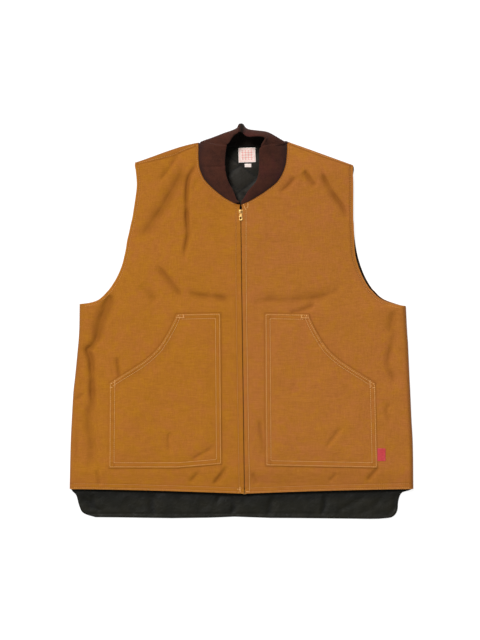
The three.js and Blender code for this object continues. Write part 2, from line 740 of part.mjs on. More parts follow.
// The band: a smooth face through the sections, and a second one behind it by the band's thickness
function collarSolid() {
  const right = collarFront("right");
  const left = collarFront("left").reverse();
  const sections = [...right, ...collarBack(), ...left];
  const lines = [0, 1, 2].map((k) => {
    const points = sections.map((section) => section[k]);
    return new THREE.CatmullRomCurve3(points, false, "centripetal");
  });
  const count = sections.length - 1;
  const stops = [];
  for (let i = 0; i < count; i++) {
    const steps = i >= right.length - 1 && i <= count - left.length ? COLLAR_BETWEEN : 1;
    for (let k = 0; k < steps; k++) stops.push((i + k / steps) / count);
  }
  stops.push(1);
  const face = stops.map((t) => {
    const [seam, bulge, top] = lines.map((line) => line.getPoint(t));
    const middle = seam.clone().add(top).multiplyScalar(0.5);
    const pull = bulge.clone().multiplyScalar(2).sub(middle);
    return new THREE.QuadraticBezierCurve3(seam, pull, top).getPoints(COLLAR_ACROSS);
  });
  const near = (list, i) => list[THREE.MathUtils.clamp(i, 0, list.length - 1)];
  const behind = face.map((row, i) =>
    row.map((p, j) => {
      const run = near(face, i + 1)[j].clone().sub(near(face, i - 1)[j]);
      const rise = near(row, j + 1).clone().sub(near(row, j - 1));
      return p.clone().addScaledVector(run.cross(rise).normalize(), COLLAR_THICKNESS);
    }),
  );
  return solidBetween(face, behind, false);
}

// Materials
const MATERIALS = {
  canvas: new THREE.MeshStandardMaterial({ color: "#a9692b", roughness: 0.9 }),
  lining: new THREE.MeshStandardMaterial({ color: "#26241f", roughness: 0.8 }),
  rib: new THREE.MeshStandardMaterial({ color: "#44261c", roughness: 0.95 }),
  brass: new THREE.MeshStandardMaterial({ color: "#d9b46c", roughness: 0.35, metalness: 1 }),
  tape: new THREE.MeshStandardMaterial({ color: "#8a5a2a", roughness: 0.9 }),
  label: new THREE.MeshStandardMaterial({ color: "#f0e1d7", roughness: 0.8 }),
  flag: new THREE.MeshStandardMaterial({ color: "#be2d37", roughness: 0.7 }),
};

const group = new THREE.Group();

function add(name, solid, material) {
  const mesh = new THREE.Mesh(toGeometry(solid), MATERIALS[material]);
  mesh.name = name;
  group.add(mesh);
  return mesh;
}

const liningOutline = backOutline(false, LINING_INSET - TAIL_INSET);
add("back_panel", flatSheet(backOutline(true, 0), 0, 0, CANVAS), "canvas");
add("back_lining", flatSheet(liningOutline, LINING_INSET, CANVAS + GAP, LINING), "lining");

for (const name of ["right", "left"]) {
  const { outerFace, innerFace } = grids[name];
  add("front_" + name, solidBetween(outerFace, innerFace, SIDES[name].sign < 0), "canvas");
  add("pocket_" + name, patchOn(name, pocketOutline(name), POCKET_CLOTH), "canvas");
  const tape = zipRibbon(name, CHAIN_HALF_WIDTH + GAP, TAPE_OUTER, TAPE_DROP, TAPE_THICKNESS);
  add("zip_tape_" + name, tape, "tape");
}

add("collar", collarSolid(), "rib");
add("zip_teeth", chainSolid(), "brass");

const boxY = HEM_Y - HEM_BOW + BOX_LENGTH / 2;
const boxTop = placketTop(HEM_Y - HEM_BOW) - PADDED_WALL - TAPE_DROP - TAPE_THICKNESS - GAP;
const boxZ = boxTop - BOX_THICKNESS / 2;
add("zip_box", block(BOX_WIDTH, BOX_LENGTH, BOX_THICKNESS, zipX(boxY), boxY, boxZ), "brass");
add("zip_slider", sliderSolid(), "brass");

const tab = add("pull_tab", tabSolid(), "brass");
tab.position.set(zipX(SLIDER_Y), pinY, pinHeight);

const labelBase = CANVAS + GAP + LINING + GAP;
const sizeTabY = LABEL.y - LABEL.height / 2 - SIZE_TAB.height / 2 - SIZE_TAB.gap;
for (const [name, label, y] of [
  ["neck_label", LABEL, LABEL.y],
  ["size_tab", SIZE_TAB, sizeTabY],
]) {
  const { width, height, thickness, x, tilt } = label;
  const mesh = add(name, block(width, height, thickness, 0, 0, thickness / 2), "label");
  mesh.position.set(x, y, labelBase);
  mesh.rotation.z = tilt;
}

const halfFlag = new THREE.Vector2(FLAG.width / 2, FLAG.height / 2);
const flagOutline = [
  new THREE.Vector2(FLAG.x - halfFlag.x, FLAG.y - halfFlag.y),
  new THREE.Vector2(FLAG.x + halfFlag.x, FLAG.y - halfFlag.y),
  new THREE.Vector2(FLAG.x + halfFlag.x, FLAG.y + halfFlag.y),
  new THREE.Vector2(FLAG.x - halfFlag.x, FLAG.y + halfFlag.y),
];
add("pocket_flag", patchOn("left", flagOutline, FLAG.thickness), "flag");

export default group;
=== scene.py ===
import math

import bpy
import numpy as np
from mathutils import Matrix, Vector
from mathutils.bvhtree import BVHTree
from mathutils.geometry import tessellate_polygon


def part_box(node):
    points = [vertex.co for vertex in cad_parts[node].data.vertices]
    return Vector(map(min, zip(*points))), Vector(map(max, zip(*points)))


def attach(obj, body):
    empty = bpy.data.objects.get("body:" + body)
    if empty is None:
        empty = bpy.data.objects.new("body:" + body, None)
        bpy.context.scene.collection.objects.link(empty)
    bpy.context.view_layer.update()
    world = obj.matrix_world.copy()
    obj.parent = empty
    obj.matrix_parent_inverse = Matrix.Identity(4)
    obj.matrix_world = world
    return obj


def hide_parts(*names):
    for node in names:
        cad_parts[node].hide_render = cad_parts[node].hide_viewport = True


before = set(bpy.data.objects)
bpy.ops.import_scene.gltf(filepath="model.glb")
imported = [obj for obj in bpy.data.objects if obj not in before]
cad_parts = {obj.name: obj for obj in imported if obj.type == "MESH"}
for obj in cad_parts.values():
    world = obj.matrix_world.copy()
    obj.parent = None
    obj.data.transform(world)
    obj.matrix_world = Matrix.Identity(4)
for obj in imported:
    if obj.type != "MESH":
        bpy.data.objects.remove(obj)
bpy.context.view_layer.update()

# Lengths are in millimetres until a mesh is made
MM = 0.001

# The body of the vest; -1 is the wearer's right, which is left in the picture
HALF_WIDTH = 344.0
HEM_Y = -336.0
HEM_BOW = 9.0
HEM_BOW_POWER = 1.55
TAIL_Y = -395.0
BACK_NECK_Y = 350.0
ZIP_TOP = (-1.5, 232.0)
ZIP_BOTTOM_X = 6.0
CHEST_HEIGHT = 28.0
SIDE_HEIGHT = 17.0
LOW = 0.4
ROLL_RADIUS = 9.0
ARM_EDGE_LIFT = 0.85
ARM_EDGE_RUN = 70.0
WALL = 2.8
LINING_LOW = 6.2

NAMES = {-1: "right", 1: "left"}
UNDERARM = {-1: (-324.0, 34.0), 1: (329.0, 30.0)}
SHOULDER = {-1: (-213.3, 317.0), 1: (223.2, 312.0)}
SHOULDER_BOW = {-1: 2.9, 1: 0.3}
NECK = {-1: (-86.6, 357.0), 1: (92.0, 359.0)}

# Side folds: share of the way up to the underarm, share of the narrowing there
SIDE_FLARE = {
    -1: [(0, 0), (0.24, 0.1), (0.38, 0.22), (0.52, 0.37), (0.6, 0.53), (0.72, 0.75), (0.85, 0.95), (1, 1)],
    1: [(0, 0), (0.24, 0.07), (0.38, 0.25), (0.52, 0.4), (0.6, 0.5), (0.72, 0.63), (0.8, 0.72), (0.87, 0.84),
        (1, 1)],
}

# Armhole from the shoulder tip: shares of the way down and of the way out
ARMHOLE = {
    -1: [(0, 0), (0.05, -0.014), (0.16, -0.036), (0.27, -0.004), (0.33, 0.02), (0.385, 0.042), (0.44, 0.074),
         (0.5, 0.107), (0.552, 0.138), (0.608, 0.16), (0.664, 0.19), (0.72, 0.226), (0.776, 0.28),
         (0.832, 0.352), (0.888, 0.445), (0.916, 0.507), (0.944, 0.575), (0.972, 0.67), (0.99, 0.81), (1, 1)],
    1: [(0, 0), (0.06, -0.004), (0.14, 0.004), (0.366, 0.003), (0.423, 0.012), (0.535, 0.021), (0.592, 0.028),
        (0.648, 0.046), (0.704, 0.085), (0.76, 0.14), (0.817, 0.212), (0.873, 0.305), (0.901, 0.377),
        (0.93, 0.45), (0.958, 0.568), (0.986, 0.79), (1, 1)],
}

# Front neckline from the zip's top: shares of the half neck's width and depth
NECKLINE = {
    -1: [(0, 0), (0.08, 0.01), (0.2, 0.044), (0.3, 0.08), (0.405, 0.124), (0.53, 0.188), (0.65, 0.256),
         (0.75, 0.32), (0.832, 0.38), (0.888, 0.435), (0.95, 0.53), (0.985, 0.62), (1.0, 0.74), (1.0, 0.88),
         (1, 1)],
    1: [(0, 0), (0.1, 0.03), (0.22, 0.07), (0.405, 0.15), (0.5, 0.195), (0.585, 0.24), (0.69, 0.297),
        (0.785, 0.36), (0.865, 0.442), (0.923, 0.53), (0.963, 0.62), (0.985, 0.724), (0.995, 0.85), (1, 1)],
}

# Body height along the front: y, share of CHEST_HEIGHT at the zip, share of SIDE_HEIGHT at the side
HEIGHTS = [
    (HEM_Y - HEM_BOW, 0.6, 0.86),
    (HEM_Y + 36, 0.78, 0.95),
    (HEM_Y + 136, 0.96, 1.0),
    (0, 1.0, 1.0),
    (ZIP_TOP[1] - 40, 0.96, 0.94),
    (ZIP_TOP[1] + 60, 0.84, 0.88),
    (BACK_NECK_Y, 0.56, 0.82),
]

# Folds of the front: points along the crease, depth, and breadths on its left and right
FOLDS = [
    ([(-92, 346), (-92, 326), (-93, 309), (-99, 298), (-105, 287), (-108.5, 268), (-109.5, 240), (-109, 205),
      (-107.5, 174), (-110, 156), (-113, 140), (-116, 108)], 4.6, 5, 5),
    ([(-114, 328), (-117, 313), (-121, 296), (-129, 279), (-147, 248), (-166, 216), (-191, 181), (-208, 154)],
     3.5, 16, 13),
    ([(-122, 338), (-132, 323), (-142, 307), (-155, 290), (-168, 272)], 2.2, 4, 7),
    ([(-171, 117), (-156, 97), (-144, 81), (-130, 63), (-110, 40)], 3.0, 6, 11),
    ([(-112, 62), (-90, 52), (-68, 49), (-47, 48), (-30, 43), (-14, 35)], 3.3, 7, 10),
    ([(-205, 74), (-185, 54), (-165, 36)], 2.0, 12, 12),
    ([(-253, 58), (-267, 34), (-280, 4), (-292, -48)], 5.0, 13, 13),
    ([(-281, -4), (-288, -32), (-299, -49), (-308, -58), (-302, -75), (-299.5, -100), (-299, -136), (-296, -186)],
     5.2, 8, 7),
    ([(-322, -40), (-330, -90), (-326, -130)], 1.6, 8, 8),
    ([(-302, -150), (-306, -200), (-300, -250), (-303, -310)], 2.6, 14, 10),
    ([(-326, -210), (-330, -250), (-322, -300)], 1.2, 10, 10),
    ([(-290, -296), (-281, -331)], 2.0, 4, 5),
    ([(-262, 53), (-281, 22)], 1.4, 4, 5),
    ([(-338, -158), (-326, -154), (-312, -144)], 1.8, 5, 5),
    ([(-249, -70), (-246, -92), (-242, -120)], 2.8, 4, 4),
    ([(-104, -323), (-84, -299)], 2.0, 4, 7),
    ([(-59, -328), (-45, -312), (-28, -288)], 3.2, 4, 7),
    ([(-66, 252), (-40, 232), (-14, 214)], 1.1, 4, 6),
    ([(-72, 236), (-44, 212), (-18, 200)], 0.9, 4, 6),
    ([(-84, 286), (-96, 262), (-92, 236)], 1.1, 8, 6),
    ([(157, 305), (172, 274), (186, 251), (204, 225), (214, 194)], 3.7, 5, 9),
    ([(124, 302), (137, 284), (151, 266)], 4.0, 5, 8),
    ([(110, 290), (93, 270), (72, 254)], 3.0, 6, 8),
    ([(10, 36), (60, 42), (106, 42), (150, 47), (182, 58), (214, 76)], 2.7, 13, 9),
    ([(92, 15), (120, 21), (152, 35)], 2.8, 8, 6),
    ([(308, -10), (300, -48), (292, -84), (302, -112), (306, -140)], 2.5, 10, 9),
    ([(36, -192), (40, -230), (49, -276)], 2.5, 5, 6),
    ([(250, -320), (274, -292)], 3.0, 5, 5),
    ([(174, -321), (192, -304)], 2.4, 4, 4),
    ([(22, -302), (34, -328)], 1.8, 4, 5),
    ([(298, -160), (290, -182), (300, -206)], 1.8, 6, 6),
    ([(45, 166), (70, 156), (96, 160)], 0.9, 6, 8),
    ([(28, 240), (50, 220), (60, 196)], 0.9, 5, 7),
    ([(307, 22), (300, 0), (296, -30)], 2.4, 9, 11),
]
FOLD_STRENGTH = 1.25
POCKET_FOLDS = [
    ([(-102, -280), (-78, -265), (-52, -250)], 2.2, 3.5, 6),
    ([(-143, -220), (-144, -270)], 2.4, 5, 5),
    ([(-196, -150), (-150, -172), (-120, -168)], 1.2, 14, 14),
    ([(150, -53), (162, -42), (178, -36)], 1.6, 4, 5),
    ([(202, -210), (186, -232), (167, -257)], 2.8, 4, 6),
    ([(90, -120), (130, -150), (190, -156)], 1.1, 16, 14),
]

# Seams with a row of stitches on each front
SHOULDER_SEAM = {
    -1: [(-211, 312), (-147, 327), (-131, 332), (-119, 338), (-90, 350)],
    1: [(221, 309), (165, 327), (117, 345), (94, 354)],
}
PLACKET_ROW = {-1: [(-10.8, 228), (-10.6, 40), (-4.4, -343)], 1: [(9.2, 228), (9.8, 40), (16.2, -343)]}
ARM_ROW = 6.0
NECK_ROW = 2.2
HEM_ROWS = (2.4, 10.0)

# Grid of the fronts
PITCH = 2.5
EDGE_STEPS = [0, 1, 2, 3.2, 4.6, 6, 7.4, 8.6, 9.6, 10.8, 12.4, 14.4, 17]
ROLL_STEPS = [23, 20.5, 18, 15.6, 13.2, 11, 9, 7.2, 5.6, 4.2, 3, 2, 1.2, 0.6, 0.2, 0]
ZIP_SHARE_AT_UNDERARM = 0.6
ARM_SHARE_AT_ZIP_TOP = 0.68

# A turned cloth edge: how far out and down from the top face's edge
TURN_REACH = 0.9
TURN = [(0.55, 0.2), (0.85, 0.75), (TURN_REACH, 1.5), (0.65, 2.2), (0.0, 2.7), (-3.0, 2.9)]
POCKET_TURN = [(0.3, 0.12), (0.45, 0.45), (0.4, 0.9), (0.1, 1.3), (-1.5, 1.6)]

# Zip and its brass
PLACKET_HALF_GAP = 1.5
SLIDER_Y = 219.0
SHIELD_Y = 216.8
SLIDER_LENGTH = 12.0
SLIDER_WIDTH = 8.4
SLIDER_HALF_GAP = 3.0
SLIDER_EASE = 9.0

# Pockets
POCKETS = {
    -1: {"inner": (-42, -40), "outer": (-263, -264.5), "top": (15.4, 13.6), "bottom": -293, "corner": 7.5,
         "corner_run": 88, "mouth": (-130, -124)},
    1: {"inner": (47, 49), "outer": (267, 271), "top": (14.8, 13.2), "bottom": -293, "corner": 4.4,
        "corner_run": 222, "mouth": (134, -125)},
}
POCKET_MOUTH = [(0, 0), (0.03, 0.09), (0.13, 0.28), (0.27, 0.49), (0.45, 0.655), (0.63, 0.775), (0.84, 0.9),
                (1, 1)]
POCKET_EDGE_STEPS = np.array([0, 1, 2, 3.2, 5, 7.5, 9, 10.2, 12]) / 222
POCKET_ROWS = (2.0, 10.0)
MOUTH_ROWS = (2.6, 8.2)
POCKET_CLOTH = 1.4
POCKET_SHADOW = {"mouth": 0.95, "top": 1.0, "bottom": 0.8, "inner": 0.75, "outer": 0.25}

# Stitches
STITCH_PITCH = 3.8
STITCH_LONG = 3.1
STITCH_RADIUS = 0.55


def lerp(a, b, t):
    return a + (b - a) * t


def smooth(t):
    t = np.clip(t, 0, 1)
    return t * t * (3 - 2 * t)


def bell(distance, breadth):
    return np.exp(-((distance / breadth) ** 2))


def normalised(vectors):
    """Vectors of length 1, along the last axis."""
    return vectors / np.maximum(np.linalg.norm(vectors, axis=-1, keepdims=True), 1e-9)


def along(table, at, column):
    """A short table's value at a place, half way between straight and eased steps."""
    keys = np.array([row[0] for row in table], float)
    values = np.array([row[column] for row in table], float)
    at = np.clip(at, keys[0], keys[-1])
    i = np.clip(np.searchsorted(keys, at) - 1, 0, len(keys) - 2)
    t = (at - keys[i]) / (keys[i + 1] - keys[i])
    return lerp(values[i], values[i + 1], (t + smooth(t)) / 2)


def curve_at(points, stops):
    """Places on a smooth curve through points, counted in points from the first."""
    p = np.array(points, float)
    p = np.concatenate([[2 * p[0] - p[1]], p, [2 * p[-1] - p[-2]]])
    i = np.clip(np.asarray(stops).astype(int), 0, len(points) - 2)
    t = (stops - i)[:, None]
    a, b, c, d = p[i], p[i + 1], p[i + 2], p[i + 3]
    return 0.5 * (2 * b + (c - a) * t + (2 * a - 5 * b + 4 * c - d) * t**2 + (3 * b - a - 3 * c + d) * t**3)


def lengths_of(path):
    return np.concatenate([[0], np.cumsum(np.linalg.norm(np.diff(path, axis=0), axis=1))])


def walk(path, distance):
    """Points at distances along a polyline."""
    reached = lengths_of(path)
    return np.stack([np.interp(distance, reached, path[:, k]) for k in range(path.shape[1])], axis=-1)


def smooth_path(points, steps=10):
    return curve_at(points, np.linspace(0, len(points) - 1, (len(points) - 1) * steps + 1))


def length(path):
    return lengths_of(path)[-1]


def to_path(x, y, path):
    """For arrays of points: distance to a polyline, side of it (+1 left of its run), length walked on it."""
    path = np.asarray(path, float)
    best = np.full(x.shape, 1e9)
    side = np.zeros(x.shape)
    walked = np.zeros(x.shape)
    reached = lengths_of(path)
    for k in range(len(path) - 1):
        ax, ay = path[k]
        rx, ry = path[k + 1] - path[k]
        size = math.hypot(rx, ry)
        t = np.clip(((x - ax) * rx + (y - ay) * ry) / size**2, 0, 1)
        dx = x - ax - t * rx
        dy = y - ay - t * ry
        d = np.hypot(dx, dy)
        nearer = d < best
        best = np.where(nearer, d, best)
        side = np.where(nearer, np.sign(rx * dy - ry * dx), side)
        walked = np.where(nearer, reached[k] + t * size, walked)
    return best, side, walked


def noise(x, y, size, seed):
    """Smooth noise from -1 to 1 whose waves are about size long."""
    table = np.random.default_rng(seed).uniform(-1, 1, (97, 97))
    u = x / size + 400.5
    v = y / size + 400.5
    i = np.floor(u).astype(int)
    j = np.floor(v).astype(int)
    s = smooth(u - i)
    t = smooth(v - j)
    low = lerp(table[i % 97, j % 97], table[(i + 1) % 97, j % 97], s)
    high = lerp(table[i % 97, (j + 1) % 97], table[(i + 1) % 97, (j + 1) % 97], s)
    return lerp(low, high, t)


def fold_depth(x, y, folds):
    total = np.zeros(x.shape)
    for points, depth, left, right in folds:
        path = smooth_path(points, 5)
        reach = 3 * max(left, right)
        low = path.min(axis=0) - reach
        high = path.max(axis=0) + reach
        near = (x > low[0]) & (x < high[0]) & (y > low[1]) & (y < high[1])
        if not near.any():
            continue
        d, side, walked = to_path(x[near], y[near], path)
        share = walked / length(path)
        ends = smooth(share / 0.2) * smooth((1 - share) / 0.26)
        breadth = np.where(side > 0, left, right)
        shape = bell(d, breadth) * 0.5 + np.exp(-d / breadth * 1.6) * 0.5
        wobble = 1 + 0.3 * noise(x[near], y[near], 17, 5)
        total[near] += depth * ends * shape * wobble
    return total * FOLD_STRENGTH


def zip_x(y):
    return lerp(ZIP_TOP[0], ZIP_BOTTOM_X, (ZIP_TOP[1] - y) / (ZIP_TOP[1] - HEM_Y))


def half_gap(y):
    beyond = np.maximum(np.abs(y - SLIDER_Y) - SLIDER_LENGTH / 2 - 1, 0)
    near = smooth(1 - beyond / SLIDER_EASE)
    return lerp(PLACKET_HALF_GAP, SLIDER_HALF_GAP, near)


def side_path(sign):
    under = UNDERARM[sign]
    return smooth_path([(lerp(sign * HALF_WIDTH, under[0], narrowing), lerp(HEM_Y, under[1], up))
                        for up, narrowing in SIDE_FLARE[sign]])


def armhole_path(sign):
    under, tip = UNDERARM[sign], SHOULDER[sign]
    points = [(lerp(tip[0], under[0], out), lerp(tip[1], under[1], down)) for down, out in ARMHOLE[sign]]
    return smooth_path(points, 6)[::-1]


def neckline_path(sign):
    base = ZIP_TOP[0] + sign * half_gap(ZIP_TOP[1])
    neck = NECK[sign]
    points = [(lerp(base, neck[0], out), lerp(ZIP_TOP[1], neck[1], up)) for out, up in NECKLINE[sign]]
    return smooth_path(points, 6)


def shoulder_rise(sign, x):
    """How far the shoulder's upper edge bows up at a place across."""
    share = np.clip((x - SHOULDER[sign][0]) / (NECK[sign][0] - SHOULDER[sign][0]), 0, 1)
    return SHOULDER_BOW[sign] * 6.75 * share**2 * (1 - share)


def roll(distance):
    share = 1 - np.clip(distance / ROLL_RADIUS, 0, 1)
    return np.sqrt(1 - share**2)


def grid_faces(rows, columns, flip=False, wrap=False):
    i, j = np.meshgrid(np.arange(rows - 1), np.arange(columns - (0 if wrap else 1)), indexing="ij")
    i, j = i.ravel(), j.ravel()
    k = (j + 1) % columns
    quads = np.stack([i * columns + j, i * columns + k, (i + 1) * columns + k, (i + 1) * columns + j], axis=1)
    return quads[:, ::-1] if flip else quads


def tube_faces(rows, columns):
    """Faces of a closed tube of points with a cap at both ends."""
    faces = [list(f) for f in grid_faces(rows, columns, wrap=True)]
    faces.append(list(range(columns))[::-1])
    faces.append([(rows - 1) * columns + k for k in range(columns)])
    return faces


def add_object(name, data):
    obj = bpy.data.objects.new(name, data)
    bpy.context.scene.collection.objects.link(obj)
    return obj


def piece(name, points, faces, material, slot, body="vest", marks=None, stands_for=None):
    """A smooth mesh from points in millimetres, riding on a body; marks are values per point."""
    mesh = bpy.data.meshes.new(name)
    mesh.from_pydata((np.asarray(points).reshape(-1, 3) * MM).tolist(), [], [list(map(int, f)) for f in faces])
    mesh.update()
    mesh.polygons.foreach_set("use_smooth", [True] * len(mesh.polygons))
    for key, values in (marks or {}).items():
        layer = mesh.attributes.new(key, "FLOAT", "POINT")
        layer.data.foreach_set("value", np.asarray(values, np.float32).ravel())
    mesh.materials.append(material)
    obj = add_object(name, mesh)
    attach(obj, body)
    if stands_for:
        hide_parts(stands_for)
    return obj


def grid_piece(name, grid, material, slot, flip=False, **more):
    return piece(name, grid, grid_faces(*grid.shape[:2], flip=flip), material, slot, **more)


def box_of(node):
    """A node's lowest and highest corners and its middle, in millimetres."""
    low, high = (np.array(c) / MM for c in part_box(node))
    return low, high, (low + high) / 2


class Surface:
    """Heights of a grid of points, found from straight above."""

    def __init__(self, grid, flip=False):
        faces = grid_faces(*grid.shape[:2], flip=flip)
        self.tree = BVHTree.FromPolygons(grid.reshape(-1, 3).tolist(), faces.tolist())

    def heights(self, x, y):
        out = np.zeros(x.size)
        for k, (px, py) in enumerate(zip(x.ravel().tolist(), y.ravel().tolist())):
            hit = self.tree.ray_cast(Vector((px, py, 200.0)), Vector((0, 0, -1)))[0]
            if hit is not None:
                out[k] = hit.z
        return out.reshape(x.shape)


def turn_edge(grid, marks, axis, last, profile, weight=None, tuck=0.2):
    """Adds a turned edge to one side of a grid; where weight is 0 the cloth is only tucked in."""
    grid = grid if axis == 0 else grid.transpose(1, 0, 2)
    marks = {key: value if axis == 0 else value.T for key, value in marks.items()}
    edge, inside = (grid[-1], grid[-2]) if last else (grid[0], grid[1])
    out = normalised(edge[:, :2] - inside[:, :2])
    weight = np.ones(len(edge)) if weight is None else weight
    extra = []
    for k, (outward, down) in enumerate(profile):
        step = lerp(-tuck * (k + 1), outward, weight)
        row = edge.copy()
        row[:, :2] += out * step[:, None]
        row[:, 2] = np.maximum(edge[:, 2] - down * weight, LOW - 0.05)
        extra.append(row)
    extra = np.array(extra)
    grid = np.concatenate([grid, extra] if last else [extra[::-1], grid])
    for key, value in marks.items():
        more = np.repeat(value[-1:] if last else value[:1], len(profile), axis=0)
        marks[key] = np.concatenate([value, more] if last else [more, value])
    if axis == 1:
        grid = grid.transpose(1, 0, 2)
        marks = {key: value.T for key, value in marks.items()}
    return grid, marks


def turn_all(grid, marks, profile):
    """Turns all four edges of a grid."""
    for axis in (1, 0):
        for last in (False, True):
            grid, marks = turn_edge(grid, marks, axis, last, profile, tuck=0)
    return grid, marks


def corner_weights(profile, count):
    """Weights for turning a row whose side columns are turned already."""
    drop = [down for _, down in profile]
    return 1 - np.concatenate([drop[::-1], np.zeros(count), drop]) / drop[-1]


def seam_relief(distance, walked, at, strength=1.0, pucker=1.0):
    """A sewn row pulls the cloth down and puckers it on both sides."""
    groove = -0.45 * bell(distance - at, 1.3)
    puff = 0.25 * bell(distance - at * 0.45, at * 0.35 + 0.6)
    phase = walked / 8.5 + 1.1 * noise(walked, walked * 0 + at, 23, 11)
    spread = bell(distance - at, 6.5)
    swell = 0.5 + 0.5 * noise(walked, walked * 0 - at, 41, 12)
    return strength * (groove + puff + pucker * 0.3 * swell * spread * np.cos(2 * np.pi * phase))


def row_ends(sign):
    """The fine grid's rows: inner and outer ends, length walked up the armhole, distance to the shoulder."""
    outer_side, armhole, neckline = side_path(sign), armhole_path(sign), neckline_path(sign)
    start = HEM_Y - HEM_BOW + TURN_REACH
    zip_length = ZIP_TOP[1] - start
    arm_length, neck_length = length(armhole), length(neckline)
    inner, outer, arm, top = [], [], [], []

    def add(p, q, walked, to_top):
        inner.append(p)
        outer.append(q)
        arm.append(walked)
        top.append(to_top)

    def zip_edge(y):
        return (zip_x(y) + sign * half_gap(y), y)

    under = start + zip_length * ZIP_SHARE_AT_UNDERARM
    count = round((under - start) / PITCH)
    for share in np.linspace(0, 1, count + 1):
        up = lerp(TURN_REACH, length(outer_side), share)
        add(zip_edge(lerp(start, under, share)), walk(outer_side, up), -1, 1e3)
    count = round((ZIP_TOP[1] - under) / PITCH)
    for share in np.linspace(0, 1, count + 1)[1:]:
        walked = arm_length * ARM_SHARE_AT_ZIP_TOP * share
        add(zip_edge(lerp(under, ZIP_TOP[1], share)), walk(armhole, walked), walked, 1e3)
    upper = arm_length * (1 - ARM_SHARE_AT_ZIP_TOP) - ROLL_STEPS[0]
    count = round(neck_length / PITCH / 1.15)
    for share in np.linspace(0, 1, count + 1)[1:]:
        walked = arm_length * ARM_SHARE_AT_ZIP_TOP + upper * share
        to_top = ROLL_STEPS[0] + (1 - share) * upper
        add(walk(neckline, (neck_length - ROLL_STEPS[0]) * share), walk(armhole, walked), walked, to_top)
    for step in ROLL_STEPS[1:]:
        add(walk(neckline, neck_length - step), walk(armhole, arm_length - step), arm_length - step, step)
    return np.array(inner), np.array(outer), np.array(arm), np.array(top)


def arm_freedom(arm):
    """1 where the armhole's edge is turned and free, 0 at the side fold; from the length walked up it."""
    return smooth((arm - 4) / 25) * (arm > 0)


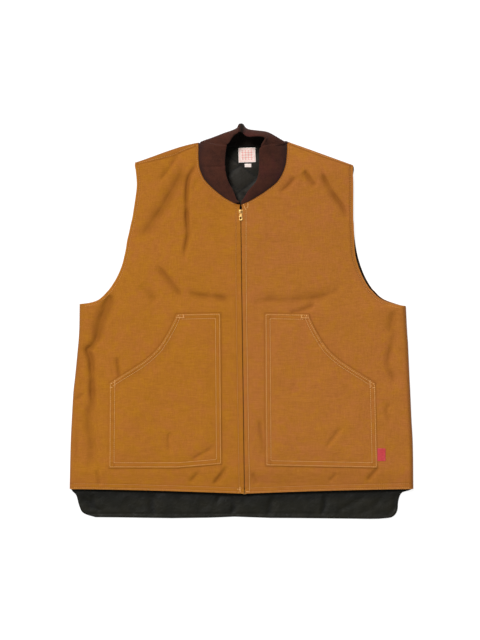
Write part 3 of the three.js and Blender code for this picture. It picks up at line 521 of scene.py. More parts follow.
def front_grid(sign):
    inner, outer, arm, top = row_ends(sign)
    across = outer - inner
    width = np.linalg.norm(across, axis=1)
    unit = across / width[:, None]
    width -= TURN_REACH * arm_freedom(arm)
    middle = round((HALF_WIDTH - EDGE_STEPS[-1] - ROLL_STEPS[0]) / PITCH)
    shares = np.linspace(0, 1, middle + 1)[1:-1]
    start = np.repeat([EDGE_STEPS], len(width), axis=0)
    body = EDGE_STEPS[-1] + (width[:, None] - EDGE_STEPS[-1] - ROLL_STEPS[0]) * shares
    end = width[:, None] - np.array(ROLL_STEPS)
    run = np.concatenate([start, body, end], axis=1)
    distance = width[:, None] - run
    xy = inner[:, None] + unit[:, None] * run[..., None]
    x, y = xy[..., 0], xy[..., 1].copy()
    out = run / width[:, None]
    bow = HEM_BOW * ((1 - out) - (1 - out) ** HEM_BOW_POWER)
    y += bow * smooth(1 - (y - HEM_Y + HEM_BOW) / 90)
    y += shoulder_rise(sign, x) * smooth(1 - top / ROLL_STEPS[0])[:, None]

    zip_high = along(HEIGHTS, y, 1) * CHEST_HEIGHT
    side_high = along(HEIGHTS, y, 2) * SIDE_HEIGHT
    shape = 1 - (distance / width[:, None] * -1 + 1) ** 2.2
    high = lerp(side_high, zip_high, shape)
    to_zip = (x - (zip_x(y) + sign * half_gap(y))) * sign
    calm = lerp(0.35, 1, smooth(np.minimum(run, to_zip) / 16))
    low_noise = 1.1 * noise(x, y, 74, 21) + 0.55 * noise(x, y, 31, 22) + 0.22 * noise(x, y, 13, 23)
    creases = fold_depth(x, y, FOLDS)
    high = high - creases * calm + low_noise * calm

    # Seams: placket, hem, armhole, neckline and shoulder, each with painted shade along its sewn groove
    relief = np.zeros(x.shape)
    painted_shade = np.zeros(x.shape)

    def sew(d, walked, at, strength=1.0, pucker=1.0):
        nonlocal relief, painted_shade
        relief = relief + seam_relief(d, walked, at, strength, pucker)
        painted_shade = np.maximum(painted_shade, bell(d - at, 1.6) * 0.6)

    d, _, walked = to_path(x, y, PLACKET_ROW[sign])
    sew(d, walked, 0, 1.0, 0.8)
    hem = np.stack([x[0], y[0]], axis=1)
    to_hem, _, walked = to_path(x, y, hem[::4])
    for at in HEM_ROWS:
        sew(to_hem, walked, at, 1.0, 1.3)
    armhole, neckline = armhole_path(sign), neckline_path(sign)
    to_arm, _, walked = to_path(x, y, armhole[::2])
    sew(np.where(y > UNDERARM[sign][1] + 2, to_arm, 99), walked, ARM_ROW, 1.0, 1.2)
    to_neck, _, walked = to_path(x, y, neckline[::2])
    sew(to_neck, walked, NECK_ROW, 0.9, 0.7)
    d, _, walked = to_path(x, y, SHOULDER_SEAM[sign])
    relief -= 0.9 * bell(d, 1.2)
    painted_shade = np.maximum(painted_shade, bell(d, 1.4))
    # Painted highlight along the turned hem and armhole edges
    rim = np.minimum(to_hem, np.where(arm[:, None] > 10, to_arm, 99))
    light = 0.8 * bell(rim, 1.3)
    # Painted shade along the neckline and in the creases
    painted_shade = np.maximum(painted_shade, 0.9 * bell(to_neck, 1.2))
    painted_shade = np.maximum(painted_shade, smooth(creases / 5) * 0.85)
    # Painted shade near the side edges where the cloth rolls under, and in a band just above the hem, stronger on
    # the left front
    shade = 0.5 * bell(distance, 9) * (arm[:, None] < 0)
    shade += (0.34 if sign > 0 else 0.12) * smooth((HEM_Y + 46 - y) / 20) * smooth((y - HEM_Y - 6) / 8)

    # Painted shadow on the front along each pocket's edges
    for line, weight in POCKET_SHADOW.items():
        d, _, _ = to_path(x, y, pocket_lines(sign)[line])
        painted_shade = np.maximum(painted_shade, weight * bell(d, 2.4))
    # Painted shade on the right front's strip above the shoulder seam, which faces the light
    seam = np.array(SHOULDER_SEAM[sign])[::-sign]
    above = y - np.interp(x, seam[:, 0], seam[:, 1])
    shade += 0.7 * smooth(above / 2) * (sign < 0) * (np.abs(x) > 85)

    lift = ARM_EDGE_LIFT * smooth(arm / ARM_EDGE_RUN) * (arm > 0)
    rolled = np.maximum(roll(distance), lift[:, None]) * roll(top)[:, None]
    z = LOW + (high + relief - LOW) * rolled
    return np.stack([x, y, z], axis=2), {"painted_shade": painted_shade, "light": light, "shade": shade}, arm


def build_front(sign, material, lining):
    core, marks, arm = front_grid(sign)
    turned, marks = turn_edge(core, marks, 1, False, TURN)
    turned, marks = turn_edge(turned, marks, 1, True, TURN, weight=arm_freedom(arm))
    keep = corner_weights(TURN, core.shape[1])
    turned, marks = turn_edge(turned, marks, 0, False, TURN, weight=keep)
    turned, marks = turn_edge(turned, marks, 0, True, TURN, weight=keep * 0)
    name = NAMES[sign]
    front = grid_piece("canvas_front_" + name, turned, material, "canvas", flip=sign < 0, marks=marks,
                       stands_for="front_" + name)

    # The quilted lining under it
    inside = core[1:-6:2, 1:-6:2].copy()
    inside[..., 2] = np.maximum(inside[..., 2] - WALL, LINING_LOW)
    inner = grid_piece("lining_front_" + name, inside, lining, "lining", flip=sign > 0)
    return front, inner, Surface(core, flip=sign < 0), core


def polyline_offset(path, offset):
    """A polyline moved to its left by an offset."""
    run = normalised(np.gradient(path, axis=0))
    return path + np.stack([-run[:, 1], run[:, 0]], axis=1) * offset


# Pockets

def pocket_lines(sign):
    """A pocket's outline as separate lines: bottom, outer side, mouth, top and inner side."""
    p = POCKETS[sign]
    top_x, low_y = p["mouth"]
    mouth = smooth_path([(lerp(top_x, p["outer"][0], out), lerp(p["top"][1], low_y, down))
                         for out, down in POCKET_MOUTH], 8)
    inner_top = (p["inner"][0], p["top"][0])
    inner_low = (p["inner"][1], p["bottom"] + p["corner"])
    outer_low = (p["outer"][1], p["bottom"])
    corner = [(p["inner"][1] + sign * p["corner_run"], p["bottom"])] if p["corner_run"] < 200 else []
    return {
        "top": np.array([inner_top, mouth[0]]),
        "mouth": mouth,
        "outer": np.array([mouth[-1], outer_low]),
        "bottom": np.array([outer_low, *corner, inner_low]),
        "inner": np.array([inner_low, inner_top]),
    }


def build_pocket(sign, surface, material):
    lines = pocket_lines(sign)
    p = POCKETS[sign]
    outer = np.concatenate([lines["outer"][::-1], lines["mouth"][::-1][1:]])
    bottom = lines["bottom"][::-sign if lines["bottom"][0, 0] > lines["bottom"][-1, 0] else 1]
    u, v = np.meshgrid(np.concatenate([POCKET_EDGE_STEPS, np.linspace(0.064, 0.936, 78),
                                       1 - POCKET_EDGE_STEPS[::-1]]), np.linspace(0, 1, 128))
    y_flat = lerp(p["bottom"], lerp(p["top"][0], p["top"][1], u), v)
    outer_y = lerp(p["bottom"], p["top"][1], v)
    order = np.argsort(outer[:, 1])
    x_out = np.interp(outer_y, outer[order, 1], outer[order, 0])
    x = lerp(lerp(p["inner"][1], p["inner"][0], v), x_out, u)
    y = y_flat + (np.interp(x, bottom[:, 0], bottom[:, 1]) - p["bottom"]) * (1 - v)

    relief = np.zeros(x.shape)
    painted_shade = np.zeros(x.shape)
    rim = np.full(x.shape, 99.0)
    for name, path in lines.items():
        d, _, walked = to_path(x, y, path)
        rim = np.minimum(rim, d)
        for at in MOUTH_ROWS if name == "mouth" else POCKET_ROWS:
            relief += seam_relief(d, walked, at, 0.75, 0.9)
            # Painted shade along each sewn row
            painted_shade = np.maximum(painted_shade, bell(d - at, 1.5) * 0.5)
        if name == "mouth":
            ends = smooth(walked / 30) * smooth((length(path) - walked) / 30)
            relief += 2.4 * ends * bell(d, 13)
    inside = smooth((rim - 8) / 30)
    relief += inside * (1.6 + 0.9 * noise(x, y, 58, 31) + 0.4 * noise(x, y, 24, 32)) + 0.16 * noise(x, y, 11, 33)
    relief -= fold_depth(x, y, POCKET_FOLDS)
    z = surface.heights(x, y) + POCKET_CLOTH + relief
    # Painted shade in the sewn grooves and a painted highlight along the pocket's rim
    marks = {"painted_shade": painted_shade, "light": 0.55 * bell(rim, 1.2)}
    core = np.stack([x, y, z], axis=2)
    grid = core
    for last in (False, True):
        grid, marks = turn_edge(grid, marks, 1, last, POCKET_TURN)
    keep = corner_weights(POCKET_TURN, core.shape[1])
    for last in (False, True):
        grid, marks = turn_edge(grid, marks, 0, last, POCKET_TURN, weight=keep, tuck=0)
    name = NAMES[sign]
    pocket = grid_piece("patch_pocket_" + name, grid, material, "canvas", flip=sign < 0, marks=marks,
                        stands_for="pocket_" + name)
    return pocket, Surface(core, flip=sign < 0), lines


# Back panel and its lining

TAIL_CORNER = {
    -1: [(0.15, 1), (0.094, 0.9), (0.07, 0.79), (0.053, 0.53), (0.04, 0.23), (0.02, 0.1), (0.004, 0.014)],
    1: [(0.2, 1), (0.127, 0.95), (0.095, 0.74), (0.088, 0.4), (0.073, 0.16), (0.048, 0.09), (0.004, 0.03)],
}
QUILT = 52.0
BACK_TURN = [(0.25, 0.2), (0.3, 0.6), (0.1, 1.1)]
LINING_TURN = [(0.5, 0.4), (0.7, 1.1), (0.4, 1.9)]

# The tail's lower edge: x and y
TAIL_EDGE = [(-344, -392.6), (-248, -393.3), (-140, -394.7), (-68, -393.6), (-14, -391.5), (58, -394.4),
             (112, -394.8), (256, -396.5), (344, -395.4)]

# Folds of the lining: points, depth, breadths on the left and right
TAIL_FOLDS = [
    ([(-322, -350), (-306, -362), (-278, -384)], 1.3, 4, 9),
    ([(-300, -346), (-296, -362), (-304, -378)], 1.6, 4, 6),
    ([(-173, -346), (-178, -368), (-172, -392)], 2.0, 4, 8),
    ([(166, -346), (166, -370), (158, -390)], 2.4, 6, 4),
    ([(-53, -368), (-40, -350), (-22, -356), (-14, -374), (-26, -388)], 2.4, 4, 5),
    ([(-230, -352), (-215, -390)], 1.0, 6, 8),
    ([(62, -350), (52, -392)], 1.4, 8, 5),
    ([(186, -384), (222, -364), (252, -350)], 0.9, 5, 8),
    ([(236, -388), (264, -370), (286, -352)], 0.8, 5, 7),
    ([(304, -346), (309, -366), (300, -386)], 1.8, 3, 4),
]

# How far the back stands out at the shoulder's tip, and the lengths of its parts from the tail up
TIP_EASE = 1.8
PART_LENGTHS = (80, 368, 330, 130)


def back_side(sign, ease):
    """One side of the back from the tail's corner up to the neck point."""
    drop = HEM_Y - TAIL_Y
    corner = smooth_path([(sign * HALF_WIDTH * (1 - i), HEM_Y - down * drop) for i, down in TAIL_CORNER[sign]], 5)
    side = side_path(sign)
    arm = armhole_path(sign)
    share = lengths_of(arm) / length(arm)
    open_arm = ease * smooth(share / 0.1) * smooth((0.62 - share) / 0.2)
    tip = TIP_EASE * smooth((share - 0.94) / 0.03) * smooth((1 - share) / 0.012)
    arm = arm + np.stack([sign * (open_arm + tip), 0 * share], axis=1)
    across = np.linspace(SHOULDER[sign][0], NECK[sign][0], 12)
    up = np.linspace(SHOULDER[sign][1], NECK[sign][1], 12) + shoulder_rise(sign, across)
    shoulder = np.stack([across, up], axis=1)
    return corner, side, arm, shoulder


def back_grid(insets, pitch, ease, sag):
    """Rows from the tail up, each from the wearer's right to the left.
    insets are those of the tail, the side, the open armhole and the shoulder."""
    sides = {}
    tail_in, side_in, open_in, shoulder_in = insets
    for sign in (-1, 1):
        parts = back_side(sign, ease[sign])
        rows = []
        drawn_in = []
        arm_in = lerp(side_in, open_in, ease[sign] / max(*ease.values(), 1e-6))
        for part, size, inset in zip(parts, PART_LENGTHS, (tail_in, side_in, arm_in, shoulder_in)):
            count = max(round(size / pitch), 4)
            at = np.linspace(0, length(part), count + 1)
            start = 0 if not rows else 1
            rows.append(walk(part, at)[start:])
            drawn_in.append(np.full(count + 1 - start, inset))
        path = np.concatenate(rows)
        wanted = np.concatenate(drawn_in)
        spread = max(round(8 / pitch), 1)
        padded = np.pad(wanted, spread, mode="edge")
        wanted = np.convolve(padded, np.ones(2 * spread + 1) / (2 * spread + 1), mode="valid")
        sides[sign] = polyline_offset(path, sign * wanted[:, None])
    right, left = sides[-1], sides[1]
    count = round(2 * HALF_WIDTH / pitch)
    u = np.concatenate([np.linspace(0, 0.02, 4)[:-1], np.linspace(0.02, 0.98, count), np.linspace(0.98, 1, 4)[1:]])
    grid = right[:, None] + (left - right)[:, None] * u[None, :, None]
    top = smooth((grid[..., 1].mean(axis=1) - 250) / 105)[:, None]
    bottom_row = smooth((HEM_Y - 8 - grid[..., 1]) / (HEM_Y - 8 - TAIL_Y))
    spread = 1 - (2 * u[None] - 1) ** 2
    grid[..., 1] -= sag * spread * top**3
    edge = np.interp(grid[..., 0], [x for x, _ in TAIL_EDGE], [y for _, y in TAIL_EDGE])
    grid[..., 1] += (edge - TAIL_Y) * bottom_row
    return grid


def build_back(canvas, lining):
    grid = back_grid((2.6, 1.2, 0.0, 1.2), 5.0, {-1: 0.2, 1: 4.8}, 7.5)
    x, y = grid[..., 0], grid[..., 1]
    upper = np.full(x.shape, 1.45) + 0.1 * noise(x, y, 40, 41)
    lower = 0.25 + 0.25 * smooth(noise(x, y, 60, 42))
    rounded, marks = turn_all(np.dstack([x, y, upper]), {"light": np.zeros(x.shape)}, BACK_TURN)
    bottom = np.dstack([x, y, lower])
    faces = grid_faces(*rounded.shape[:2])
    under = grid_faces(*bottom.shape[:2], flip=True) + rounded[..., 0].size
    points = np.concatenate([rounded.reshape(-1, 3), bottom.reshape(-1, 3)])
    count = bottom[..., 0].size
    marks = {key: np.concatenate([value.ravel(), np.zeros(count)]) for key, value in marks.items()}
    back = piece("canvas_back", points, np.concatenate([faces, under]), canvas, "canvas", marks=marks,
                 stands_for="back_panel")

    grid = back_grid((0.6, 4.6, 1.0, 4.6), 3.4, {-1: 0, 1: 4.8}, 1.0)
    x, y = grid[..., 0], grid[..., 1]
    rows = []
    for slope in (1, -1):
        phase = (x * 0.8 + slope * y) / QUILT + 0.12 * noise(x, y, 60, 51)
        rows.append(np.abs(phase - np.round(phase)) * QUILT * 0.75)
    to_row = np.minimum(*rows)
    tail = smooth((HEM_Y + 6 - y) / 20)
    puff = 1.3 * (1 - bell(to_row, 7))
    z = 4.0 + puff * (1 - 0.8 * tail) + 0.5 * noise(x, y, 33, 52) + 0.3 * noise(x, y, 14, 53)
    creases = fold_depth(x, y, TAIL_FOLDS)
    z -= creases
    # Painted shade along the quilting rows, less on the tail
    painted_shade = bell(to_row, 1.6) * (1 - tail)
    z -= tail * 0.7 * bell(y - (TAIL_Y + 9), 1.4)
    z = np.clip(z, 2.6, 8.2)
    sheet = np.dstack([x, y, z])
    surface = Surface(sheet)
    hem_line = HEM_Y - HEM_BOW * (1 - np.clip(np.abs(x) / HALF_WIDTH, 0, 1) ** HEM_BOW_POWER)
    # Painted shadow of the front's hem on the tail, and painted shade in the tail's creases
    painted_shade = np.maximum(painted_shade, smooth((y - hem_line + 24) / 22) * tail)
    painted_shade = np.maximum(painted_shade, smooth(creases / 2.4) * 0.8)
    # Painted light in the neck opening, weaker to the right where the collar shades it
    neck_light_share = 1 - 0.75 * smooth((x - 10) / 18)
    marks = {"painted_shade": painted_shade, "open": smooth((y - 215) / 30) * smooth((334 - y) / 16) * neck_light_share}
    sheet, marks = turn_all(sheet, marks, LINING_TURN)
    sheet[..., 2] = np.maximum(sheet[..., 2], 1.75)
    inner = grid_piece("quilted_back_lining", sheet, lining, "lining", marks=marks, stands_for="back_lining")
    return back, inner, surface

# Collar

COLLAR_STANDING = 52.0
COLLAR_THICKNESS = 3.8
RIB_PITCH = 2.6
RIB_DEPTH = 0.28
COLLAR_SEAT = 2.1

# Share of the neckline from the zip, then inwards, up, rise and bulge as shares of COLLAR_STANDING
COLLAR_FRONT = {
    -1: [(0, 0.015, 0.03, 0.02, 0), (0.1, 0.2, 0.06, 0.1, 0.02), (0.25, 0.5, 0.05, 0.18, 0.05),
         (0.42, 0.78, 0.02, 0.25, 0.07), (0.6, 0.94, -0.02, 0.31, 0.09), (0.78, 1.02, 0, 0.4, 0.12),
         (0.9, 1.06, 0, 0.52, 0.16), (1, 1.09, -0.15, 0.66, 0.22)],
    1: [(0, 0.015, 0.03, 0.02, 0), (0.1, 0.24, 0.1, 0.1, 0.02), (0.25, 0.48, 0.14, 0.18, 0.05),
        (0.42, 0.72, 0.08, 0.25, 0.07), (0.6, 0.92, 0, 0.31, 0.09), (0.78, 1.06, 0, 0.4, 0.12),
        (0.9, 1.08, -0.03, 0.52, 0.16), (1, 1, -0.19, 0.66, 0.22)],
}

# Back sections: seam, bulge and top as shares of the half neck across and of COLLAR_STANDING up
COLLAR_BACK = [
    (-0.92, (-0.87, 0.15), (-0.36, 0.02), 0.4, 0.78),
    (-0.74, (-0.66, 0.315), (-0.315, 0.1), 0.46, 0.86),
    (-0.5, (-0.43, 0.465), (-0.245, 0.3), 0.5, 0.94),
    (-0.28, (-0.23, 0.555), (-0.19, 0.42), 0.52, 0.98),
    (-0.13, (-0.11, 0.64), (-0.12, 0.49), 0.52, 1),
    (-0.05, (-0.055, 0.79), (-0.07, 0.55), 0.5, 1),
    (0.02, (0.03, 0.8), (0.03, 0.53), 0.5, 1),
    (0.08, (0.085, 0.68), (0.1, 0.41), 0.48, 1),
    (0.17, (0.16, 0.605), (0.18, 0.37), 0.48, 1),
    (0.32, (0.32, 0.56), (0.32, 0.39), 0.48, 1),
    (0.46, (0.46, 0.535), (0.45, 0.375), 0.5, 0.99),
    (0.58, (0.57, 0.505), (0.52, 0.32), 0.52, 0.96),
    (0.7, (0.67, 0.44), (0.54, 0.22), 0.5, 0.92),
    (0.83, (0.81, 0.28), (0.5, 0.11), 0.48, 0.86),
    (0.94, (0.91, 0.11), (0.455, 0.0), 0.4, 0.8),
]


def collar_sections(sign, surface):
    path = neckline_path(sign)
    total = length(path)
    stops = np.array([0.0, 0.06, 0.14, 0.25, 0.36, 0.48, 0.6, 0.72, 0.84, 0.93, 0.99])
    out = []
    for at in stops:
        here = walk(path, np.array([total * at]))[0]
        ahead = walk(path, np.array([min(total * at + 2, total)]))[0]
        behind = walk(path, np.array([max(total * at - 2, 0)]))[0]
        run = (ahead - behind) / np.linalg.norm(ahead - behind)
        inward = np.array([-run[1], run[0]]) * sign
        probe = here - inward * 2.5
        high = float(surface.heights(np.array([probe[0]]), np.array([probe[1]]))[0])
        seam = np.array([*(here - inward * 0.8), max(high - 1.6, 9.6)])
        inwards, up, rise, bulge = (float(along(COLLAR_FRONT[sign], at, k)) * COLLAR_STANDING for k in (1, 2, 3, 4))
        top = seam + np.array([-sign * inwards, up, rise])
        middle = (seam + top) / 2 + np.array([0, 0, bulge + 1.2 * math.sin(math.pi * at)])
        out.append([seam, middle, top])
    return out


def build_collar(surfaces, material):
    def across(share):
        return NECK[-1][0] * -share if share < 0 else NECK[1][0] * share

    back = []
    for seam, bulge, top, bulge_high, high in COLLAR_BACK:
        seam_y = lerp(BACK_NECK_Y, NECK[1][1] - 3, seam**2)
        place = [np.array([across(p[0]), BACK_NECK_Y + p[1] * COLLAR_STANDING, COLLAR_SEAT + h * COLLAR_STANDING])
                 for p, h in ((bulge, bulge_high), (top, high))]
        back.append([np.array([across(seam), seam_y, COLLAR_SEAT]), *place])
    sections = np.array(collar_sections(-1, surfaces[-1]) + back + collar_sections(1, surfaces[1])[::-1])
    size = len(sections) - 1
    coarse = np.linspace(0, size, 600)
    middle_line = curve_at(sections.mean(axis=1), coarse)
    reached = lengths_of(middle_line)
    count = round(reached[-1] / RIB_PITCH) * 6
    stops = np.interp(np.linspace(0, reached[-1], count + 1), reached, coarse)
    seam, bulge, top = (curve_at(sections[:, k], stops) for k in range(3))
    pull = 2 * bulge - (seam + top) / 2
    v = np.linspace(0, 1, 20)[None, :, None]
    face = (1 - v) ** 2 * seam[:, None] + 2 * v * (1 - v) * pull[:, None] + v**2 * top[:, None]
    wave_at = np.linspace(0, reached[-1], count + 1)[:, None] * np.ones((1, face.shape[1]))
    face[..., 2] += 0.9 * noise(wave_at, v[..., 0] * 50, 26, 61) * np.sin(np.pi * v[..., 0])
    crease = bell(face[..., 1] - 307, 2.6) * (face[..., 0] < -36) * smooth(v[..., 0] * 3)
    face[..., 2] -= 1.3 * crease
    run = np.gradient(face, axis=0)
    rise = np.gradient(face, axis=1)
    normal = normalised(np.cross(run, rise))
    rise = normalised(rise)
    half = COLLAR_THICKNESS / 2
    core = face + normal * half
    ways = [(k, -normal[:, k]) for k in range(core.shape[1])]
    ways += [(-1, -normal[:, -1] * math.cos(angle) + rise[:, -1] * math.sin(angle))
             for angle in np.linspace(0, math.pi, 9)[1:-1]]
    ways += [(k, normal[:, k]) for k in range(core.shape[1] - 1, -1, -1)]
    loop = np.stack([core[:, k] + way * half for k, way in ways], axis=1)
    outward = np.stack([way for _, way in ways], axis=1)
    phase = np.arange(count + 1) / 6 * 2 * np.pi
    wave = (1 - np.cos(phase)) / 2
    loop -= outward * (RIB_DEPTH * wave)[:, None, None]
    columns = loop.shape[1]
    # Painted shade in the rib's grooves
    groove = np.repeat(wave[:, None], columns, axis=1)
    # Painted shade: the back band's inner face and the pinched peak at the centre back go near black
    inside = smooth((loop[..., 1] - 338) / 8) * smooth((68 - np.abs(loop[..., 0])) / 10)
    inside[:, :face.shape[1] + 7] = 0
    knob = bell(loop[..., 0] - 0.5, 5.2) * smooth((loop[..., 1] - 372) / 5)
    inside = np.maximum(inside, knob)
    seam_side = np.zeros(loop.shape[:2])
    seam_side[:, :face.shape[1]] = bell(v[..., 0], 0.16)
    return piece("rib_collar", loop, tube_faces(count + 1, columns), material, "rib", stands_for="collar",
                 marks={"groove": groove, "inside": inside, "seam_side": seam_side})


# Zip

TOOTH_PITCH = 2.5
TOOTH_FACES = [[3, 2, 1, 0], [4, 5, 6, 7], [0, 1, 5, 4], [1, 2, 6, 5], [2, 3, 7, 6], [3, 0, 4, 7]]

# A tooth's lower and upper face: shares of its outline across and along, and height
TOOTH_LEVELS = [(1, 1, -0.9), (0.92, 0.7, 0.9)]
RIBBON_STEPS = [2.4, 3.2, 5, 7, 9, 11, 13, 14.6]
RIBBON_THICKNESS = 0.7

def solid_plate(loops, thickness, bevel, place):
    """A plate with rounded edges from closed outlines in millimetres, the later ones being holes."""
    points, faces, caps = [], [], []
    angles = np.linspace(0, math.pi / 2, 4)
    profile = [(bevel * (1 - math.sin(a)), thickness / 2 - bevel * (1 - math.cos(a))) for a in angles]
    profile += [(inset, -high) for inset, high in profile[::-1]]
    for k, loop in enumerate(loops):
        loop = np.array(loop, float)
        ahead = np.roll(loop, -1, axis=0)
        if np.sum(loop[:, 0] * ahead[:, 1] - ahead[:, 0] * loop[:, 1]) < 0:
            loop = loop[::-1]
        run = normalised(np.roll(loop, -1, axis=0) - np.roll(loop, 1, axis=0))
        into = np.stack([-run[:, 1], run[:, 0]], axis=1) * (1 if k == 0 else -1)
        base, count = len(points), len(loop)
        for inset, high in profile:
            points += [(*p, high) for p in loop + into * inset]
        caps.append([(base + i, loop[i] + into[i] * bevel) for i in range(count)])
        wall = grid_faces(len(profile), count, wrap=True, flip=k == 0)
        faces += [[int(v) + base for v in f] for f in wall]
    flat = [item for cap in caps for item in cap]
    down = {}
    for cap, loop in zip(caps, loops):
        for index, _ in cap:
            down[index] = index + (len(profile) - 1) * len(loop)
    for a, b, c in tessellate_polygon([[Vector((*p, 0)) for _, p in cap] for cap in caps]):
        (ia, pa), (ib, pb), (ic, pc) = flat[a], flat[b], flat[c]
        if (pb[0] - pa[0]) * (pc[1] - pa[1]) < (pc[0] - pa[0]) * (pb[1] - pa[1]):
            ib, ic = ic, ib
        faces += [[ia, ib, ic], [down[ia], down[ic], down[ib]]]
    return np.array(points) + np.array(place), faces


def joined(parts):
    """Several parts as one, each given by its points and faces."""
    points, faces, base = [], [], 0
    for part_points, part_faces in parts:
        points.append(part_points)
        faces += [[v + base for v in f] for f in part_faces]
        base += len(part_points)
    return np.concatenate(points), faces


def ellipse(cx, cy, rx, ry, count=20):
    angles = np.arange(count) / count * 2 * math.pi
    return [(cx + rx * math.cos(a), cy + ry * math.sin(a)) for a in angles]


def rounded_outline(points, radius, steps=5):
    out = []
    count = len(points)
    for k in range(count):
        before, here, after = (np.array(points[(k + s) % count], float) for s in (-1, 0, 1))
        a = here + (before - here) / np.linalg.norm(before - here) * radius
        b = here + (after - here) / np.linalg.norm(after - here) * radius
        for t in np.linspace(0, 1, steps):
            out.append(tuple((1 - t) ** 2 * a + 2 * t * (1 - t) * here + t**2 * b))
    return out


def tube(path, radius, sides=8, flat=1.0):
    path = np.asarray(path, float)
    run = normalised(np.gradient(path, axis=0))
    across = np.tile([1.0, 0, 0], (len(path), 1))
    up = np.cross(run, across)
    angles = np.arange(sides) / sides * 2 * math.pi
    rings = (path[:, None] + across[:, None] * (np.cos(angles)[None, :, None] * radius * flat)
             + up[:, None] * (np.sin(angles)[None, :, None] * radius))
    return rings.reshape(-1, 3), tube_faces(len(path), sides)


def build_zip(surfaces, brass, brass_in_shade, tape):
    """Teeth, box, slider and tapes; the tab is its own moving piece."""
    def placket(y):
        y = np.atleast_1d(np.asarray(y, float))
        return np.minimum(*(surfaces[s].heights(zip_x(y) + s * (half_gap(y) + 3), y) for s in (-1, 1)))

    teeth = []
    below = np.arange(HEM_Y - HEM_BOW + 10, SLIDER_Y - 6, TOOTH_PITCH)
    for y, top in zip(below, placket(below)):
        for sign in (-1, 1):
            inner, outer = -sign * 0.9, sign * 2.3
            outline = [(inner, -0.55), (outer, -0.75), (outer, 0.75), (inner, 0.55)][::sign]
            base = np.array([zip_x(y), y + (TOOTH_PITCH / 2 if sign > 0 else 0), top - WALL - 1.0])
            corners = [np.array([px * wide, py * tall, z]) + base for wide, tall, z in TOOTH_LEVELS
                       for px, py in outline]
            teeth.append((np.array(corners), TOOTH_FACES))
    # The teeth take the darker brass copy, painted shade for the slit they lie in
    chain = piece("zip_teeth_rows", *joined(teeth), brass_in_shade, "brass", stands_for="zip_teeth")
    chain.data.polygons.foreach_set("use_smooth", [False] * len(chain.data.polygons))

    # The slider: two shields, the post between them and the arch that holds the tab
    _, high, (cx, _, _) = box_of("zip_slider")
    half_w, half_l = SLIDER_WIDTH / 2, SLIDER_LENGTH / 2
    shield = rounded_outline([(-half_w * 0.72, -half_l), (half_w * 0.72, -half_l), (half_w, half_l * 0.35),
                              (half_w * 0.78, half_l), (0, half_l * 0.72), (-half_w * 0.78, half_l),
                              (-half_w, half_l * 0.35)], 1.6)
    post = rounded_outline([(-1.3, 0.5), (1.3, 0.5), (1.3, half_l - 0.6), (-1.3, half_l - 0.6)], 0.5)
    top_z = float(placket(SLIDER_Y)[0]) + 0.3
    arch_top = high[2] - 0.6
    arch = [(-3.9, top_z), (-3.6, arch_top - 1.4), (-1.6, arch_top - 0.1), (1, arch_top), (2.8, arch_top - 0.3),
            (3.7, arch_top - 1.5), (3.7, top_z)]
    parts = [
        solid_plate([shield], 1.1, 0.45, (cx, SHIELD_Y, top_z)),
        solid_plate([shield], 1.3, 0.4, (cx, SHIELD_Y, top_z - 4.2)),
        solid_plate([post], 4.0, 0.3, (cx, SHIELD_Y, top_z - 2.1)),
        tube(smooth_path([(cx, SLIDER_Y + y, z) for y, z in arch], 5), 0.55, sides=10, flat=1.5),
    ]
    piece("zip_slider_body", *joined(parts), brass, "brass", stands_for="zip_slider")

    # The tab, with its window for the arch and its hole
    (x0, y0, _), (x1, y1, _), (cx, _, cz) = box_of("pull_tab")
    wide, tall = x1 - x0, y1 - y0
    left = [(-wide * 0.42, y1), (-wide * 0.36, y1 - tall * 0.42), (-wide / 2, y0 + tall * 0.42), (-wide / 2, y0)]
    outline = rounded_outline(left + [(-px, py) for px, py in left[::-1]], 2.0)
    window = rounded_outline([(-2.15, y1 - 1.2), (2.15, y1 - 1.2), (2.15, y1 - 8), (-2.15, y1 - 8)], 0.5)
    hole = ellipse(0, y0 + 5.2, 1.5, 2.6)
    piece("zip_pull", *solid_plate([outline, window, hole], 1.3, 0.35, (cx, 0, cz)), brass, "brass",
          body="pull_tab", stands_for="pull_tab")

    low, high, middle = box_of("zip_box")
    half = (high - low) / 2
    outline = rounded_outline([(-half[0], -half[1]), (half[0], -half[1]), (half[0] * 0.8, half[1]),
                               (-half[0] * 0.8, half[1])], 1.4)
    piece("zip_bottom_box", *solid_plate([outline], half[2] * 2, 0.6, tuple(middle)), brass, "brass",
          stands_for="zip_box")

    y = np.linspace(HEM_Y - HEM_BOW + 2, ZIP_TOP[1] - 2, 220)
    top = placket(y) - WALL - 1.0
    for sign in (-1, 1):
        upper = np.stack([np.stack([zip_x(y) + sign * step, y, top + 0.1 * np.cos(step * 2.6) - 0.3], axis=1)
                          for step in RIBBON_STEPS], axis=1)
        lower = upper - np.array([0, 0, RIBBON_THICKNESS])
        loop = np.concatenate([upper, lower[:, ::-1]], axis=1)
        faces = grid_faces(*loop.shape[:2], wrap=True, flip=sign < 0)
        strip = piece("zip_ribbon_" + NAMES[sign], loop, faces, tape, "tape",
                      stands_for="zip_tape_" + NAMES[sign])


# Stitches

# Bar tacks at both ends of a pocket's mouth: from and to, inwards and up from the end
TACKS_AT_TOP = [(3.4, 3.0, 4.4, -4.5), (-0.5, -7.0, 16.0, -7.0), (14.0, 2.0, 14.4, -6.0)]
TACKS_AT_SIDE = [(10.4, 9.0, 10.2, -9.0), (-2.0, -0.4, 5.0, -1.0), (0.4, -8.0, 5.6, -8.6)]

# Short rows at the top and the foot of the zip
ZIP_END_ROWS = {
    -1: [[(-3.0, -331), (-2.6, -342)], [(-9, -336), (-1.5, -336.6)]],
    1: [[(3.4, 236), (5.4, 229), (8.2, 222)], [(12.6, 239), (13.0, 231), (11.6, 225)],
        [(6.4, -340.4), (14.6, -341)]],
}

